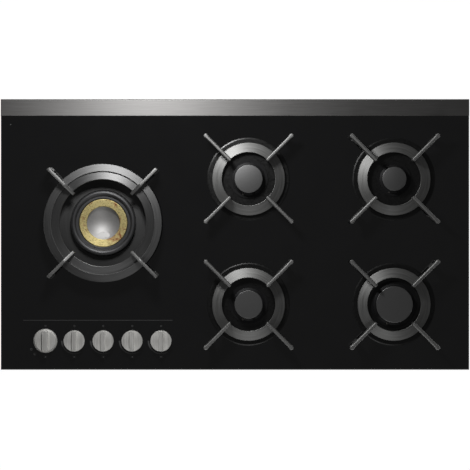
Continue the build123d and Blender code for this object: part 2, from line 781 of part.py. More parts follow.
def make_crown(burner):
    """Flame crown: venturi tube, skirt in the cup, flange on its rim, and a wall of flame ports."""
    skirt_r = cup_r(burner) - CUP_WALL - CROWN_SKIRT_GAP
    wall_r = burner.cap_r - CROWN_STEP
    floor = CROWN_BASE + CROWN_FLANGE
    with BuildPart() as crown:
        with BuildSketch(upright(burner.x, burner.y)):
            with BuildLine():
                Polyline(
                    (VENTURI_R, VENTURI_BOTTOM),
                    (VENTURI_R + VENTURI_WALL, VENTURI_BOTTOM),
                    (VENTURI_R + VENTURI_WALL, CROWN_BASE),
                    (skirt_r - CROWN_SKIRT_WALL, CROWN_BASE),
                    (skirt_r - CROWN_SKIRT_WALL, CROWN_BASE - CROWN_SKIRT_DROP),
                    (skirt_r, CROWN_BASE - CROWN_SKIRT_DROP),
                    (skirt_r, CROWN_BASE),
                    (burner.cap_r + CROWN_LIP, CROWN_BASE),
                    (burner.cap_r + CROWN_LIP, floor - CROWN_FLANGE / 2),
                    (burner.cap_r, floor),
                    (wall_r, floor + CROWN_FLANGE),
                    (wall_r, CROWN_TOP),
                    (wall_r - CROWN_WALL, CROWN_TOP),
                    (wall_r - CROWN_WALL, floor),
                    (VENTURI_R, floor),
                    close=True,
                )
            make_face()
        revolve(axis=axis_of(burner))
        with BuildSketch(level(burner, CROWN_TOP)):
            with PolarLocations(wall_r - CROWN_WALL / 2, round(2 * pi * wall_r / PORT_PITCH)):
                Rectangle(2 * CROWN_WALL, PORT_WIDTH)
        extrude(amount=-PORT_DEPTH, mode=Mode.SUBTRACT)
        cut_around(burner, CROWN_TOP, CROWN_HEIGHT, PIN_R + HOLE_GAP, [PLUG_ANGLE])
        cut_around(burner, CROWN_TOP, CROWN_HEIGHT, PROBE_R + HOLE_GAP, [PROBE_ANGLE])
    write_part(crown, f"burner_crown_{burner.name}")


def make_cap(burner):
    """Enamelled burner cap with a rounded edge and a lip that drops into its crown."""
    lip_r = burner.cap_r - CROWN_STEP - CROWN_WALL - CROWN_SKIRT_GAP
    with BuildPart() as cap:
        with BuildSketch(level(burner, CAP_BASE)):
            Circle(burner.cap_r)
        extrude(amount=CAP_THICK)
        fillet(cap.edges().group_by(Axis.Z)[-1], CAP_EDGE_R)
        with BuildSketch(level(burner, CAP_BASE)):
            Circle(lip_r)
            Circle(lip_r - CAP_LIP_WALL, mode=Mode.SUBTRACT)
        extrude(amount=-CAP_LIP_DROP)
    write_part(cap, f"burner_cap_{burner.name}")


def make_wok_crown():
    """Outer flame ring of the wok burner: sloping skirt with flame slots, raised lip and groove."""
    lip_top = CROWN_BASE + WOK_LIP_HEIGHT
    groove = CROWN_BASE + WOK_GROOVE_HEIGHT
    skirt_top = CROWN_BASE + CROWN_FLANGE
    with BuildPart() as wok_crown:
        with BuildSketch(upright(WOK.x, WOK.y)):
            with BuildLine():
                Polyline(
                    (WOK_CROWN_HOLE_R, CROWN_BASE),
                    (WOK_CROWN_R, CROWN_BASE),
                    (WOK_CROWN_R, skirt_top),
                    (WOK_LIP_R + EDGE_ROUND, lip_top - EDGE_ROUND),
                    (WOK_LIP_R, lip_top),
                    (WOK_LIP_R - EDGE_ROUND, lip_top - EDGE_ROUND),
                    (WOK_GROOVE_R, groove),
                    (WOK_CROWN_HOLE_R + EDGE_ROUND, groove),
                    (WOK_CROWN_HOLE_R, groove - EDGE_ROUND),
                    close=True,
                )
            make_face()
        revolve(axis=axis_of(WOK))
        with BuildSketch(level(WOK, skirt_top)):
            with PolarLocations(WOK_CROWN_R, WOK_PORT_COUNT):
                Rectangle(2 * WOK_PORT_LENGTH, PORT_WIDTH)
        extrude(amount=PORT_DEPTH, mode=Mode.SUBTRACT)
        cut_around(WOK, lip_top, WOK_LIP_HEIGHT, PIN_R + HOLE_GAP, [PLUG_ANGLE])
        cut_around(WOK, lip_top, WOK_LIP_HEIGHT, PROBE_R + HOLE_GAP, [PROBE_ANGLE])
    write_part(wok_crown, "wok_crown")


def make_wok_brass_ring():
    """Brass flame ring that lies on the wok burner's inner wall; its top falls gently inwards."""
    top = BRASS_BASE + BRASS_THICK
    with BuildPart() as wok_brass_ring:
        with BuildSketch(upright(WOK.x, WOK.y)):
            with BuildLine():
                Polyline(
                    (BRASS_INNER_R, BRASS_BASE),
                    (BRASS_OUTER_R, BRASS_BASE),
                    (BRASS_OUTER_R, top - BRASS_EDGE),
                    (BRASS_OUTER_R - BRASS_EDGE, top),
                    (BRASS_INNER_R + BRASS_EDGE, top - BRASS_FALL),
                    (BRASS_INNER_R, top - BRASS_FALL - BRASS_EDGE),
                    close=True,
                )
            make_face()
        revolve(axis=axis_of(WOK))
    write_part(wok_brass_ring, "wok_brass_ring")


def make_wok_bowl():
    """Polished bowl in the middle of the wok burner, on a spigot, with the pilot at its front."""
    floor = BOWL_RIM_TOP - BOWL_DEPTH
    with BuildPart() as wok_bowl:
        with BuildSketch(upright(WOK.x, WOK.y)):
            with BuildLine():
                bowl = RadiusArc(
                    (0, floor), (BOWL_R, BOWL_RIM_TOP),
                    -(BOWL_R**2 + BOWL_DEPTH**2) / (2 * BOWL_DEPTH))
                Line(bowl @ 1, (BOWL_R, BOWL_RIM_TOP - 2 * BOWL_SHEET))
                Line((BOWL_R, BOWL_RIM_TOP - 2 * BOWL_SHEET), (BOWL_SPIGOT_R, floor - BOWL_SHEET))
                Line((BOWL_SPIGOT_R, floor - BOWL_SHEET), (BOWL_SPIGOT_R, CUP_FLOOR))
                Line((BOWL_SPIGOT_R, CUP_FLOOR), (0, CUP_FLOOR))
                Line((0, CUP_FLOOR), bowl @ 0)
            make_face()
        revolve(axis=axis_of(WOK))
        with BuildSketch(level(WOK, floor)):
            with Locations((0, -PILOT_OFFSET)):
                Circle(PILOT_R)
            Circle(cup_r(WOK) - CUP_WALL - CROWN_SKIRT_GAP, mode=Mode.INTERSECT)
        extrude(amount=PILOT_TOP - floor)
        hole_y = PILOT_HOLE_INSET - PILOT_OFFSET
        with BuildSketch(level(WOK, PILOT_TOP)):
            with Locations((-PILOT_HOLE_SPACING / 2, hole_y), (PILOT_HOLE_SPACING / 2, hole_y)):
                Circle(PILOT_HOLE_R)
        extrude(amount=-PILOT_HOLE_DEPTH, mode=Mode.SUBTRACT)
    write_part(wok_bowl, "wok_bowl")


# ---------------------------------------------------------------- pan supports

def make_small_arm():
    """One arm of a small pan support, lying outwards along +X, with a roof-shaped top and a leg."""
    top = GLASS_TOP + ARM_RISE
    ring_bottom = GLASS_TOP + RING_RISE
    tip_r = ARM_OUTER_R - ARM_TIP_WIDTH / 2
    with BuildPart() as small_arm:
        with BuildSketch(Plane.XY.offset(SUPPORT_FOOT_TOP)):
            with Locations(((ARM_INNER_R + ARM_WIDTH / 2 + tip_r) / 2, 0)):
                Rectangle(tip_r - ARM_INNER_R - ARM_WIDTH / 2, ARM_WIDTH)
            with Locations((ARM_INNER_R + ARM_WIDTH / 2, 0)):
                Circle(ARM_WIDTH / 2)
            with Locations((tip_r, 0)):
                Circle(ARM_TIP_WIDTH / 2)
        extrude(amount=top - SUPPORT_FOOT_TOP)
        with BuildSketch(Plane.XZ):
            with BuildLine():
                Polyline(
                    (ARM_INNER_R, ring_bottom),
                    (ARM_INNER_R, top),
                    (ARM_OUTER_R, top),
                    (ARM_OUTER_R, top - ARM_TIP_DEPTH),
                    (LEG_R + LEG_WIDTH, top - 2 * ARM_TIP_DEPTH),
                    (LEG_R + LEG_WIDTH / 2, SUPPORT_FOOT_TOP),
                    (LEG_R - LEG_WIDTH / 2, SUPPORT_FOOT_TOP),
                    (LEG_R - LEG_WIDTH, top - 2 * ARM_TIP_DEPTH),
                    (RING_OUTER_R + ARM_TIP_DEPTH, top - 3 * ARM_TIP_DEPTH),
                    (RING_OUTER_R, ring_bottom),
                    close=True,
                )
            make_face()
        extrude(amount=ARM_TIP_WIDTH, both=True, mode=Mode.INTERSECT)
        chamfer(small_arm.faces().sort_by(Axis.Z)[-1].edges(), ARM_ROOF)
        with BuildSketch(Plane((LEG_R, 0, SUPPORT_FOOT_TOP))):
            Circle(FOOT_STEM_R + SNUG_GAP)
        extrude(amount=FOOT_STEM + SNUG_GAP, mode=Mode.SUBTRACT)
    return small_arm.part


def make_pan_support(burner, arm):
    """Small pan support: a ring whose top slopes outwards, with four arms on its diagonals."""
    bottom = GLASS_TOP + RING_RISE
    inner_top, outer_top = bottom + RING_INNER_THICK, bottom + RING_OUTER_THICK
    with BuildPart() as pan_support:
        with BuildSketch(upright(burner.x, burner.y)):
            with BuildLine():
                Polyline(
                    (RING_INNER_R, bottom),
                    (RING_OUTER_R, bottom),
                    (RING_OUTER_R, outer_top - RING_BEVEL),
                    (RING_OUTER_R - RING_BEVEL, outer_top),
                    (RING_INNER_R + RING_BEVEL, inner_top),
                    (RING_INNER_R, inner_top - RING_BEVEL),
                    close=True,
                )
            make_face()
        revolve(axis=axis_of(burner))
        with Locations((burner.x, burner.y, 0)):
            with PolarLocations(0, ARM_COUNT, start_angle=ARM_START):
                add(arm)
    write_part(pan_support, f"pan_support_{burner.name}")


def make_wok_arm():
    """One arm of the wok support, along +X: a blade that climbs to a knee over the ring, and its leg."""
    inner = GLASS_TOP + WOK_ARM_INNER_RISE
    tip = GLASS_TOP + WOK_ARM_TIP_RISE
    ring_bottom = GLASS_TOP + WOK_RING_RISE - WOK_RING_THICK
    leg_r = WOK_ARM_OUTER_R - WOK_LEG_LENGTH / 2
    leg_inner = WOK_ARM_OUTER_R - WOK_LEG_LENGTH
    with BuildPart() as wok_arm:
        with BuildSketch(Plane.XZ):
            with BuildLine():
                Polyline(
                    (WOK_ARM_INNER_R, ring_bottom + WOK_ARM_SINK),
                    (WOK_ARM_INNER_R, inner),
                    (WOK_ARM_KNEE_R, GLASS_TOP + WOK_ARM_KNEE_RISE),
                    (WOK_ARM_OUTER_R - WOK_ARM_THICK, tip),
                    (WOK_ARM_OUTER_R, tip - EDGE_ROUND),
                    (WOK_ARM_OUTER_R, SUPPORT_FOOT_TOP),
                    (leg_inner, SUPPORT_FOOT_TOP),
                    (leg_inner, ring_bottom - WOK_ARM_DEEPEN),
                    (WOK_RING_OUTER_R, ring_bottom + WOK_ARM_SINK),
                    close=True,
                )
            make_face()
        extrude(amount=WOK_ARM_THICK / 2, both=True)
        blade_edges = wok_arm.faces().filter_by(Plane.XZ).edges()
        chamfer([edge for edge in blade_edges if edge.center().Z > inner], EDGE_ROUND)
        with BuildSketch(Plane((leg_r, 0, SUPPORT_FOOT_TOP))):
            Rectangle(WOK_LEG_LENGTH, WOK_LEG_WIDTH)
        top_shift = (WOK_LEG_LENGTH - WOK_LEG_TOP_LENGTH) / 2
        with BuildSketch(Plane((leg_r + top_shift, 0, tip - 2 * WOK_ARM_THICK))):
            Rectangle(WOK_LEG_TOP_LENGTH, WOK_ARM_THICK)
        loft()
        with BuildSketch(Plane((leg_r, 0, SUPPORT_FOOT_TOP))):
            Circle(FOOT_STEM_R + SNUG_GAP)
        extrude(amount=FOOT_STEM + SNUG_GAP, mode=Mode.SUBTRACT)
    return wok_arm.part


def make_wok_support(arm):
    """Wok pan support: a ring stepped down to its inner band, both sloping outwards, with four arms."""
    ring_top = GLASS_TOP + WOK_RING_RISE
    band_top = GLASS_TOP + WOK_BAND_RISE
    ring_bottom = ring_top - WOK_RING_THICK
    outer_top = ring_top - WOK_RING_FALL
    with BuildPart() as wok_support:
        with BuildSketch(upright(WOK.x, WOK.y)):
            with BuildLine():
                Polyline(
                    (WOK_RING_INNER_R, ring_bottom),
                    (WOK_RING_OUTER_R, ring_bottom),
                    (WOK_RING_OUTER_R, outer_top - RING_BEVEL),
                    (WOK_RING_OUTER_R - RING_BEVEL, outer_top),
                    (WOK_RING_STEP_R + RING_BEVEL, ring_top),
                    (WOK_RING_STEP_R, ring_top - RING_BEVEL),
                    (WOK_RING_STEP_R, band_top - WOK_BAND_FALL),
                    (WOK_RING_INNER_R + RING_BEVEL, band_top),
                    (WOK_RING_INNER_R, band_top - RING_BEVEL),
                    close=True,
                )
            make_face()
        revolve(axis=axis_of(WOK))
        with Locations((WOK.x, WOK.y, 0)):
            with PolarLocations(0, ARM_COUNT, start_angle=ARM_START):
                add(arm)
    write_part(wok_support, "pan_support_wok")


def make_feet(burner, radius):
    """Rubber feet of one pan support, each with a stem pushed up into its leg."""
    with BuildPart() as feet:
        for base, foot_r, height in (
            (SUPPORT_FOOT_TOP - FOOT_THICK, FOOT_R, FOOT_THICK),
            (SUPPORT_FOOT_TOP, FOOT_STEM_R, FOOT_STEM),
        ):
            with BuildSketch(level(burner, base)):
                with PolarLocations(radius, ARM_COUNT, start_angle=ARM_START):
                    Circle(foot_r)
            extrude(amount=height)
    write_part(feet, f"rubber_feet_{burner.name}")


# ---------------------------------------------------------------- knobs and valves

def make_knob(number, x):
    """Control knob: a disc with a full-width grip bar, hollow below, with a flatted bore."""
    is_wok = number == 1
    grip_width = WOK_KNOB_GRIP_WIDTH if is_wok else KNOB_GRIP_WIDTH
    grip_top = KNOB_FACE + KNOB_GRIP_RISE
    with BuildPart() as knob:
        with BuildSketch(Plane((x, KNOB_Y, KNOB_BOTTOM))):
            Circle(KNOB_R)
        extrude(amount=KNOB_DISC)
        fillet(knob.edges().group_by(Axis.Z)[-1], KNOB_EDGE)
        with BuildSketch(Plane((x, KNOB_Y, KNOB_FACE - KNOB_EDGE))):
            Circle(KNOB_R - KNOB_EDGE / 2)
            Rectangle(grip_width, 2 * KNOB_R, mode=Mode.INTERSECT)
        extrude(amount=grip_top - KNOB_FACE + KNOB_EDGE)
        fillet(knob.edges().group_by(Axis.Z)[-1], KNOB_EDGE)
        if is_wok:
            with BuildSketch(Plane((x, KNOB_Y, KNOB_BOTTOM))):
                Circle(WOK_KNOB_R)
            extrude(amount=WOK_KNOB_COLLAR, taper=WOK_KNOB_TAPER)
        with BuildSketch(Plane((x, KNOB_Y, KNOB_BOTTOM))):
            Circle(KNOB_RECESS_R)
        extrude(amount=KNOB_RECESS, mode=Mode.SUBTRACT)
        with BuildSketch(Plane((x, KNOB_Y, KNOB_BOTTOM))):
            Circle(STEM_R + SNUG_GAP)
            with Locations((STEM_FLAT + SNUG_GAP + STEM_R, 0)):
                Rectangle(2 * STEM_R, 3 * STEM_R, mode=Mode.SUBTRACT)
        extrude(amount=STEM_TOP - KNOB_BOTTOM + SNUG_GAP, mode=Mode.SUBTRACT)
    write_part(knob, f"knob_{number}")


def make_stem(number, x):
    """Valve stem: flatted at the top for the knob, with a collar that its spring pushes on."""
    collar_top = TURRET_TOP - TURRET_LID - STEM_GAP
    with BuildPart() as stem:
        with BuildSketch(Plane((x, KNOB_Y, STEM_BOTTOM))):
            Circle(STEM_R)
        extrude(amount=STEM_TOP - STEM_BOTTOM)
        with BuildSketch(Plane((x, KNOB_Y, STEM_FLAT_START))):
            with Locations((STEM_FLAT + STEM_R, 0)):
                Rectangle(2 * STEM_R, 3 * STEM_R)
        extrude(amount=STEM_TOP - STEM_FLAT_START, mode=Mode.SUBTRACT)
        with BuildSketch(Plane((x, KNOB_Y, collar_top))):
            Circle(STEM_COLLAR_R)
        extrude(amount=-STEM_COLLAR)
    write_part(stem, f"valve_stem_{number}")


def make_cock(number, x):
    """Brass plug of the gas tap, with a cross passage and a bore that the stem slides in."""
    with BuildPart() as cock:
        with BuildSketch(Plane((x, KNOB_Y, COCK_BOTTOM + SNUG_GAP))):
            Circle(COCK_R)
        extrude(amount=COCK_TOP - COCK_BOTTOM - SNUG_GAP)
        with BuildSketch(Plane((x, KNOB_Y, COCK_TOP))):
            Circle(STEM_R + SNUG_GAP)
        extrude(amount=COCK_SLOT_FLOOR - COCK_TOP, mode=Mode.SUBTRACT)
        with BuildSketch(Plane.YZ.offset(x)):
            with Locations((KNOB_Y, GAS_LEVEL)):
                Circle(PASSAGE_R)
        extrude(amount=COCK_R, both=True, mode=Mode.SUBTRACT)
    write_part(cock, f"valve_plug_{number}")


def outlet_xs(number, x):
    """Where a valve's gas outlets lie: two on the wok's valve, one on the others."""
    if number == 1:
        return (x - WOK_TUBE_OFFSET, x + WOK_TUBE_OFFSET)
    return (x,)


def make_valve_bodies():
    """Tap bodies on the gas rail: a block with a saddle, a turret for the stem, and outlets."""
    back = KNOB_Y + VALVE_WIDTH / 2
    with BuildPart() as valve_bodies:
        for number, x in enumerate(KNOB_XS, start=1):
            with BuildSketch(Plane((x, (back + RAIL_Y) / 2, VALVE_BOTTOM))):
                Rectangle(VALVE_WIDTH, back - RAIL_Y)
            extrude(amount=VALVE_TOP - VALVE_BOTTOM)
            with BuildSketch(Plane((x, KNOB_Y, VALVE_TOP))):
                Circle(TURRET_R)
            extrude(amount=TURRET_TOP - VALVE_TOP)
            with BuildSketch(Plane((x, KNOB_Y, COCK_BOTTOM))):
                Circle(PLUG_BORE_R)
            extrude(amount=TURRET_TOP - TURRET_LID - COCK_BOTTOM, mode=Mode.SUBTRACT)
            with BuildSketch(Plane((x, KNOB_Y, TURRET_TOP))):
                Circle(STEM_R + STEM_GAP)
            extrude(amount=-TURRET_LID, mode=Mode.SUBTRACT)
            for outlet_x in outlet_xs(number, x):
                with BuildSketch(Plane((outlet_x, back, GAS_LEVEL), z_dir=(0, 1, 0))):
                    Circle(TUBE_R + SNUG_GAP)
                extrude(amount=-TUBE_SOCKET, mode=Mode.SUBTRACT)
                with BuildSketch(Plane((outlet_x, back, GAS_LEVEL), z_dir=(0, 1, 0))):
                    Circle(PASSAGE_R)
                extrude(amount=-VALVE_WIDTH / 2, mode=Mode.SUBTRACT)
            with BuildSketch(Plane((x, RAIL_Y, GAS_LEVEL), z_dir=(0, 1, 0))):
                Circle(PASSAGE_R)
            extrude(amount=VALVE_WIDTH / 2, mode=Mode.SUBTRACT)
        with BuildSketch(Plane.YZ.offset(KNOB_XS[0] - VALVE_WIDTH)):
            with Locations((RAIL_Y, GAS_LEVEL)):
                Circle(RAIL_R + SNUG_GAP)
        extrude(amount=KNOB_XS[-1] - KNOB_XS[0] + 2 * VALVE_WIDTH, mode=Mode.SUBTRACT)
    write_part(valve_bodies, "valve_bodies")


def make_stem_springs():
    """Return springs round the stems, between each plug and its stem's collar."""
    bottom = COCK_TOP + SPRING_END_GAP + SPRING_WIRE_R
    top = TURRET_TOP - TURRET_LID - STEM_GAP - STEM_COLLAR - SPRING_END_GAP - SPRING_WIRE_R
    with BuildPart() as stem_springs:
        for x in KNOB_XS:
            with BuildLine(Plane((x, KNOB_Y, bottom))) as coil:
                Helix(pitch=(top - bottom) / SPRING_TURNS, height=top - bottom, radius=SPRING_COIL_R)
            with BuildSketch(Plane(origin=coil.line @ 0, z_dir=coil.line % 0)):
                Circle(SPRING_WIRE_R)
            sweep(path=coil.line, is_frenet=True)
    write_part(stem_springs, "stem_springs")


def make_ignition_switches():
    """Small switches behind the valve turrets, closed when a knob is pushed."""
    back = KNOB_Y + TURRET_R
    with BuildPart() as ignition_switches:
        with BuildSketch(Plane.XY.offset(VALVE_TOP)):
            with Locations(*[(x, back + SNUG_GAP + SWITCH_DEPTH / 2) for x in KNOB_XS]):
                Rectangle(SWITCH_WIDTH, SWITCH_DEPTH)
        extrude(amount=SWITCH_HEIGHT)
    write_part(ignition_switches, "ignition_switches")


def make_knob_bezels():
    """Silicone rings that line the knob holes in the glass."""
    with BuildPart() as knob_bezels:
        with BuildSketch(Plane.XY.offset(GLASS_TOP)):
            with Locations(*[(x, KNOB_Y) for x in KNOB_XS]):
                Circle(BEZEL_R)
        extrude(amount=BEZEL_RISE)
        chamfer(knob_bezels.edges().group_by(Axis.Z)[-1], BEZEL_RISE / 2)
        with BuildSketch(Plane.XY.offset(GLASS_TOP)):
            with Locations(*[(x, KNOB_Y) for x in KNOB_XS]):
                Circle(KNOB_HOLE_R - BEZEL_GAP)
        extrude(amount=-GLASS_THICK)
        with BuildSketch(Plane.XY.offset(GLASS_BOTTOM)):
            with Locations(*[(x, KNOB_Y) for x in KNOB_XS]):
                Circle(STEM_R + STEM_GAP)
        extrude(amount=GLASS_THICK + BEZEL_RISE, mode=Mode.SUBTRACT)
    write_part(knob_bezels, "knob_bezels")


def make_valve_bracket():
    """Steel channel on the box's floor that the valves stand on."""
    start, end = KNOB_XS[0] - BRACKET_END, KNOB_XS[-1] + BRACKET_END
    with BuildPart() as valve_bracket:
        with BuildSketch(Plane(((start + end) / 2, KNOB_Y, BOX_FLOOR))):
            Rectangle(end - start, BRACKET_DEPTH)
        extrude(amount=VALVE_BOTTOM - BOX_FLOOR)
        with BuildSketch(Plane(((start + end) / 2, KNOB_Y, BOX_FLOOR))):
            Rectangle(end - start, BRACKET_DEPTH - 2 * BRACKET_SHEET)
        extrude(amount=VALVE_BOTTOM - BOX_FLOOR - BRACKET_SHEET, mode=Mode.SUBTRACT)
    write_part(valve_bracket, "valve_bracket")


# ---------------------------------------------------------------- gas rail, tubes, inlet

def add_pipe(points, radius, bore_r, bend):
    """Sweep a round pipe along straight runs joined by arcs, and leave its bore open."""
    with BuildLine() as route:
        FilletPolyline(*points, radius=bend)
    path = route.wires()[0]
    with BuildSketch(Plane(origin=path @ 0, z_dir=path % 0)) as section:
        Circle(radius)
        if bore_r:
            Circle(bore_r, mode=Mode.SUBTRACT)
    sweep(section.sketch, path=path)


def make_gas_rail():
    """Gas rail under the knobs, led along the right side to the inlet at the back."""
    side = RAIL_SIDE_X
    points = (
        (KNOB_XS[0] - RAIL_START, RAIL_Y, GAS_LEVEL),
        (side, RAIL_Y, GAS_LEVEL),
        (side, RAIL_RISE_Y, GAS_LEVEL),
        (side, RAIL_RISE_Y + RAIL_RISE_LENGTH, INLET_LEVEL),
        (side, INLET_Y - INLET_BLOCK / 2 + INLET_SOCKET, INLET_LEVEL),
    )
    with BuildPart() as gas_rail:
        add_pipe(points, RAIL_R, RAIL_BORE_R, RAIL_BEND)
    write_part(gas_rail, "gas_rail")


def tube_route(number, x, burner, shift, bend_points):
    """Points of one gas tube, from its valve's outlet to its socket in the burner's cup."""
    start = (x, KNOB_Y + VALVE_WIDTH / 2 - TUBE_SOCKET, GAS_LEVEL)
    reach = entry_reach(burner, shift)
    if burner in (REAR_MIDDLE, REAR_RIGHT):
        end = (burner.x, burner.y - reach, GAS_LEVEL)
    else:
        end = (burner.x - reach, burner.y + shift, GAS_LEVEL)
    return [start] + [(px, py, GAS_LEVEL) for px, py in bend_points] + [end]


def make_gas_tubes():
    """Aluminium tubes from the valves to the burner cups, led in lanes that never cross."""
    wok_out, wok_in = outlet_xs(1, KNOB_XS[0])
    upper, lower = WOK.y + WOK_ENTRY_OFFSET, WOK.y - WOK_ENTRY_OFFSET
    lanes = (
        (1, wok_out, WOK, WOK_ENTRY_OFFSET, [(wok_out, upper)]),
        (1, wok_in, WOK, -WOK_ENTRY_OFFSET, [(wok_in, lower)]),
        (2, KNOB_XS[1], REAR_MIDDLE, 0,
         [(KNOB_XS[1], REAR_MIDDLE_LANE_Y), (REAR_MIDDLE.x, REAR_MIDDLE_LANE_Y)]),
        (3, KNOB_XS[2], REAR_RIGHT, 0,
         [(KNOB_XS[2], REAR_RIGHT_LANE_Y), (REAR_RIGHT.x, REAR_RIGHT_LANE_Y)]),
        (4, KNOB_XS[3], FRONT_MIDDLE, 0, [(KNOB_XS[3], FRONT_MIDDLE.y)]),
        (5, KNOB_XS[4], FRONT_RIGHT, 0,
         [(KNOB_XS[4], FRONT_RIGHT_LANE_Y), (FRONT_RIGHT_TURN_X, FRONT_RIGHT_LANE_Y),
          (FRONT_RIGHT_TURN_X, FRONT_RIGHT.y)]),
    )
    with BuildPart() as gas_tubes:
        for number, x, burner, shift, bend_points in lanes:
            points = tube_route(number, x, burner, shift, bend_points)
            add_pipe(points, TUBE_R, TUBE_BORE_R, TUBE_BEND)
    write_part(gas_tubes, "gas_tubes")


def make_inlet_fitting():
    """Brass elbow over the pocket, its male thread pointing down, and the nut that locks it."""
    block_bottom = POCKET_ROOF + BOX_SHEET
    neck_bottom = POCKET_ROOF - INLET_NUT - INLET_NECK_PAST_NUT
    thread_top = neck_bottom - INLET_RELIEF
    block_top = INLET_LEVEL + INLET_BLOCK / 2 - EDGE_ROUND
    rail_side = Plane((RAIL_SIDE_X, INLET_Y - INLET_BLOCK / 2, INLET_LEVEL), z_dir=(0, 1, 0))
    with BuildPart() as inlet_fitting:
        with BuildSketch(Plane((RAIL_SIDE_X, INLET_Y, block_bottom))):
            Rectangle(INLET_BLOCK, INLET_BLOCK)
        extrude(amount=block_top - block_bottom)
        for bottom, top, radius in (
            (neck_bottom, block_bottom, INLET_NECK_R),
            (thread_top, neck_bottom, INLET_RELIEF_R),
            (INLET_END, thread_top, INLET_THREAD_R),
        ):
            with BuildSketch(Plane((RAIL_SIDE_X, INLET_Y, bottom))):
                Circle(radius)
            extrude(amount=top - bottom)
        with BuildSketch(rail_side):
            Circle(RAIL_R + SNUG_GAP)
        extrude(amount=INLET_SOCKET, mode=Mode.SUBTRACT)
        with BuildSketch(rail_side):
            Circle(RAIL_BORE_R)
        extrude(amount=INLET_BLOCK / 2, mode=Mode.SUBTRACT)
        with BuildSketch(Plane((RAIL_SIDE_X, INLET_Y, INLET_END))):
            Circle(INLET_BORE_R)
        extrude(amount=INLET_LEVEL - INLET_END, mode=Mode.SUBTRACT)
        with BuildSketch(Plane((RAIL_SIDE_X, INLET_Y, POCKET_ROOF))):
            RegularPolygon(INLET_NUT_R, 6)
            Circle(INLET_NECK_R + SNUG_GAP, mode=Mode.SUBTRACT)
        extrude(amount=-INLET_NUT)
    write_part(inlet_fitting, "inlet_fitting")


# ---------------------------------------------------------------- ignition and mains

def make_spark_generator():
    """Plastic box on the floor that makes the ignition sparks."""
    with BuildPart() as spark_generator:
        with BuildSketch(Plane((GENERATOR_X, GENERATOR_Y, BOX_FLOOR))):
            Rectangle(GENERATOR_WIDTH, GENERATOR_DEPTH)
        extrude(amount=GENERATOR_HEIGHT)
        fillet(spark_generator.edges().filter_by(Axis.Z), EDGE_ROUND)
    write_part(spark_generator, "spark_generator")


def make_ignition_leads():
    """Ignition leads along the floor, from the generator's ends up to the spark plugs."""
    left = GENERATOR_X - GENERATOR_WIDTH / 2
    right = GENERATOR_X + GENERATOR_WIDTH / 2
    leads = (
        (left, LEAD_PITCH, REAR_MIDDLE),
        (left, 0, WOK),
        (left, -LEAD_PITCH, FRONT_MIDDLE),
        (right, LEAD_PITCH, REAR_RIGHT),
        (right, -LEAD_PITCH, FRONT_RIGHT),
    )
    with BuildPart() as ignition_leads:
        for x, shift, burner in leads:
            px, py = around(burner.ring_r, PLUG_ANGLE)
            end_x, end_y = burner.x + px, burner.y + py
            lane_y = GENERATOR_Y + shift
            points = (
                (x, lane_y, LEAD_LEVEL),
                (end_x, lane_y, LEAD_LEVEL),
                (end_x, end_y, LEAD_LEVEL),
                (end_x, end_y, PLUG_BOTTOM),
            )
            add_pipe(points, LEAD_R, 0, min(LEAD_BEND, abs(end_y - lane_y) / 3))
    write_part(ignition_leads, "ignition_leads")


def make_terminal_box():
    """Mains terminal box beside the pocket, with a cord gland through the pocket's wall."""
    wall = POCKET_SIDE_X - BOX_SHEET
    gland_end = POCKET_SIDE_X + GLAND_REACH
    with BuildPart() as terminal_box:
        with BuildSketch(Plane((wall - TERMINAL_WIDTH / 2, TERMINAL_Y, BOX_FLOOR))):
            Rectangle(TERMINAL_WIDTH, TERMINAL_DEPTH)
        extrude(amount=TERMINAL_HEIGHT)
        with BuildSketch(Plane.YZ.offset(wall)):
            with Locations((GLAND_Y, GLAND_LEVEL)):
                Circle(GLAND_R)
        extrude(amount=gland_end - wall)
        with BuildSketch(Plane.YZ.offset(gland_end)):
            with Locations((GLAND_Y, GLAND_LEVEL)):
                Circle(GLAND_BORE_R)
        extrude(amount=-GLAND_BORE_LENGTH, mode=Mode.SUBTRACT)
    write_part(terminal_box, "terminal_box")


# ---------------------------------------------------------------- build every piece

make_glass_top()
make_glass_seal()
make_rear_trim()
make_bottom_box()
make_burner_frame()
make_burner_dishes()
make_burner_cups()
make_injectors()
make_spark_insulators()
make_spark_pins()
make_flame_probes()
make_screws()
make_clamp_brackets()
make_valve_bodies()
make_stem_springs()
make_ignition_switches()
make_knob_bezels()
make_valve_bracket()
make_gas_rail()
make_gas_tubes()
make_inlet_fitting()
make_spark_generator()
make_ignition_leads()
make_terminal_box()

small_arm_shape = make_small_arm()
for small in SMALL_BURNERS:
    make_crown(small)
    make_cap(small)
    make_pan_support(small, small_arm_shape)
    make_feet(small, LEG_R)

make_wok_crown()
make_wok_brass_ring()
make_wok_bowl()
make_wok_support(make_wok_arm())
make_feet(WOK, WOK_ARM_OUTER_R - WOK_LEG_LENGTH / 2)

for knob_number, knob_x in enumerate(KNOB_XS, start=1):
    make_knob(knob_number, knob_x)
    make_stem(knob_number, knob_x)
    make_cock(knob_number, knob_x)
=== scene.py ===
"""Looks of a built-in gas cooktop: enamelled supports, turned knobs, black glass and a brushed steel strip.

Sizes are in millimetres until a mesh is made, and the frame is in metres.  +X is right, +Y back, +Z up.
"""
from __future__ import annotations

import logging
from abc import ABC, abstractmethod
from dataclasses import dataclass, field, replace
from enum import Enum
from functools import cache
from math import pi, radians
from typing import Iterable, Sequence

import bmesh
import bpy
import numpy as np
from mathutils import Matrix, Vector
from numpy.typing import NDArray


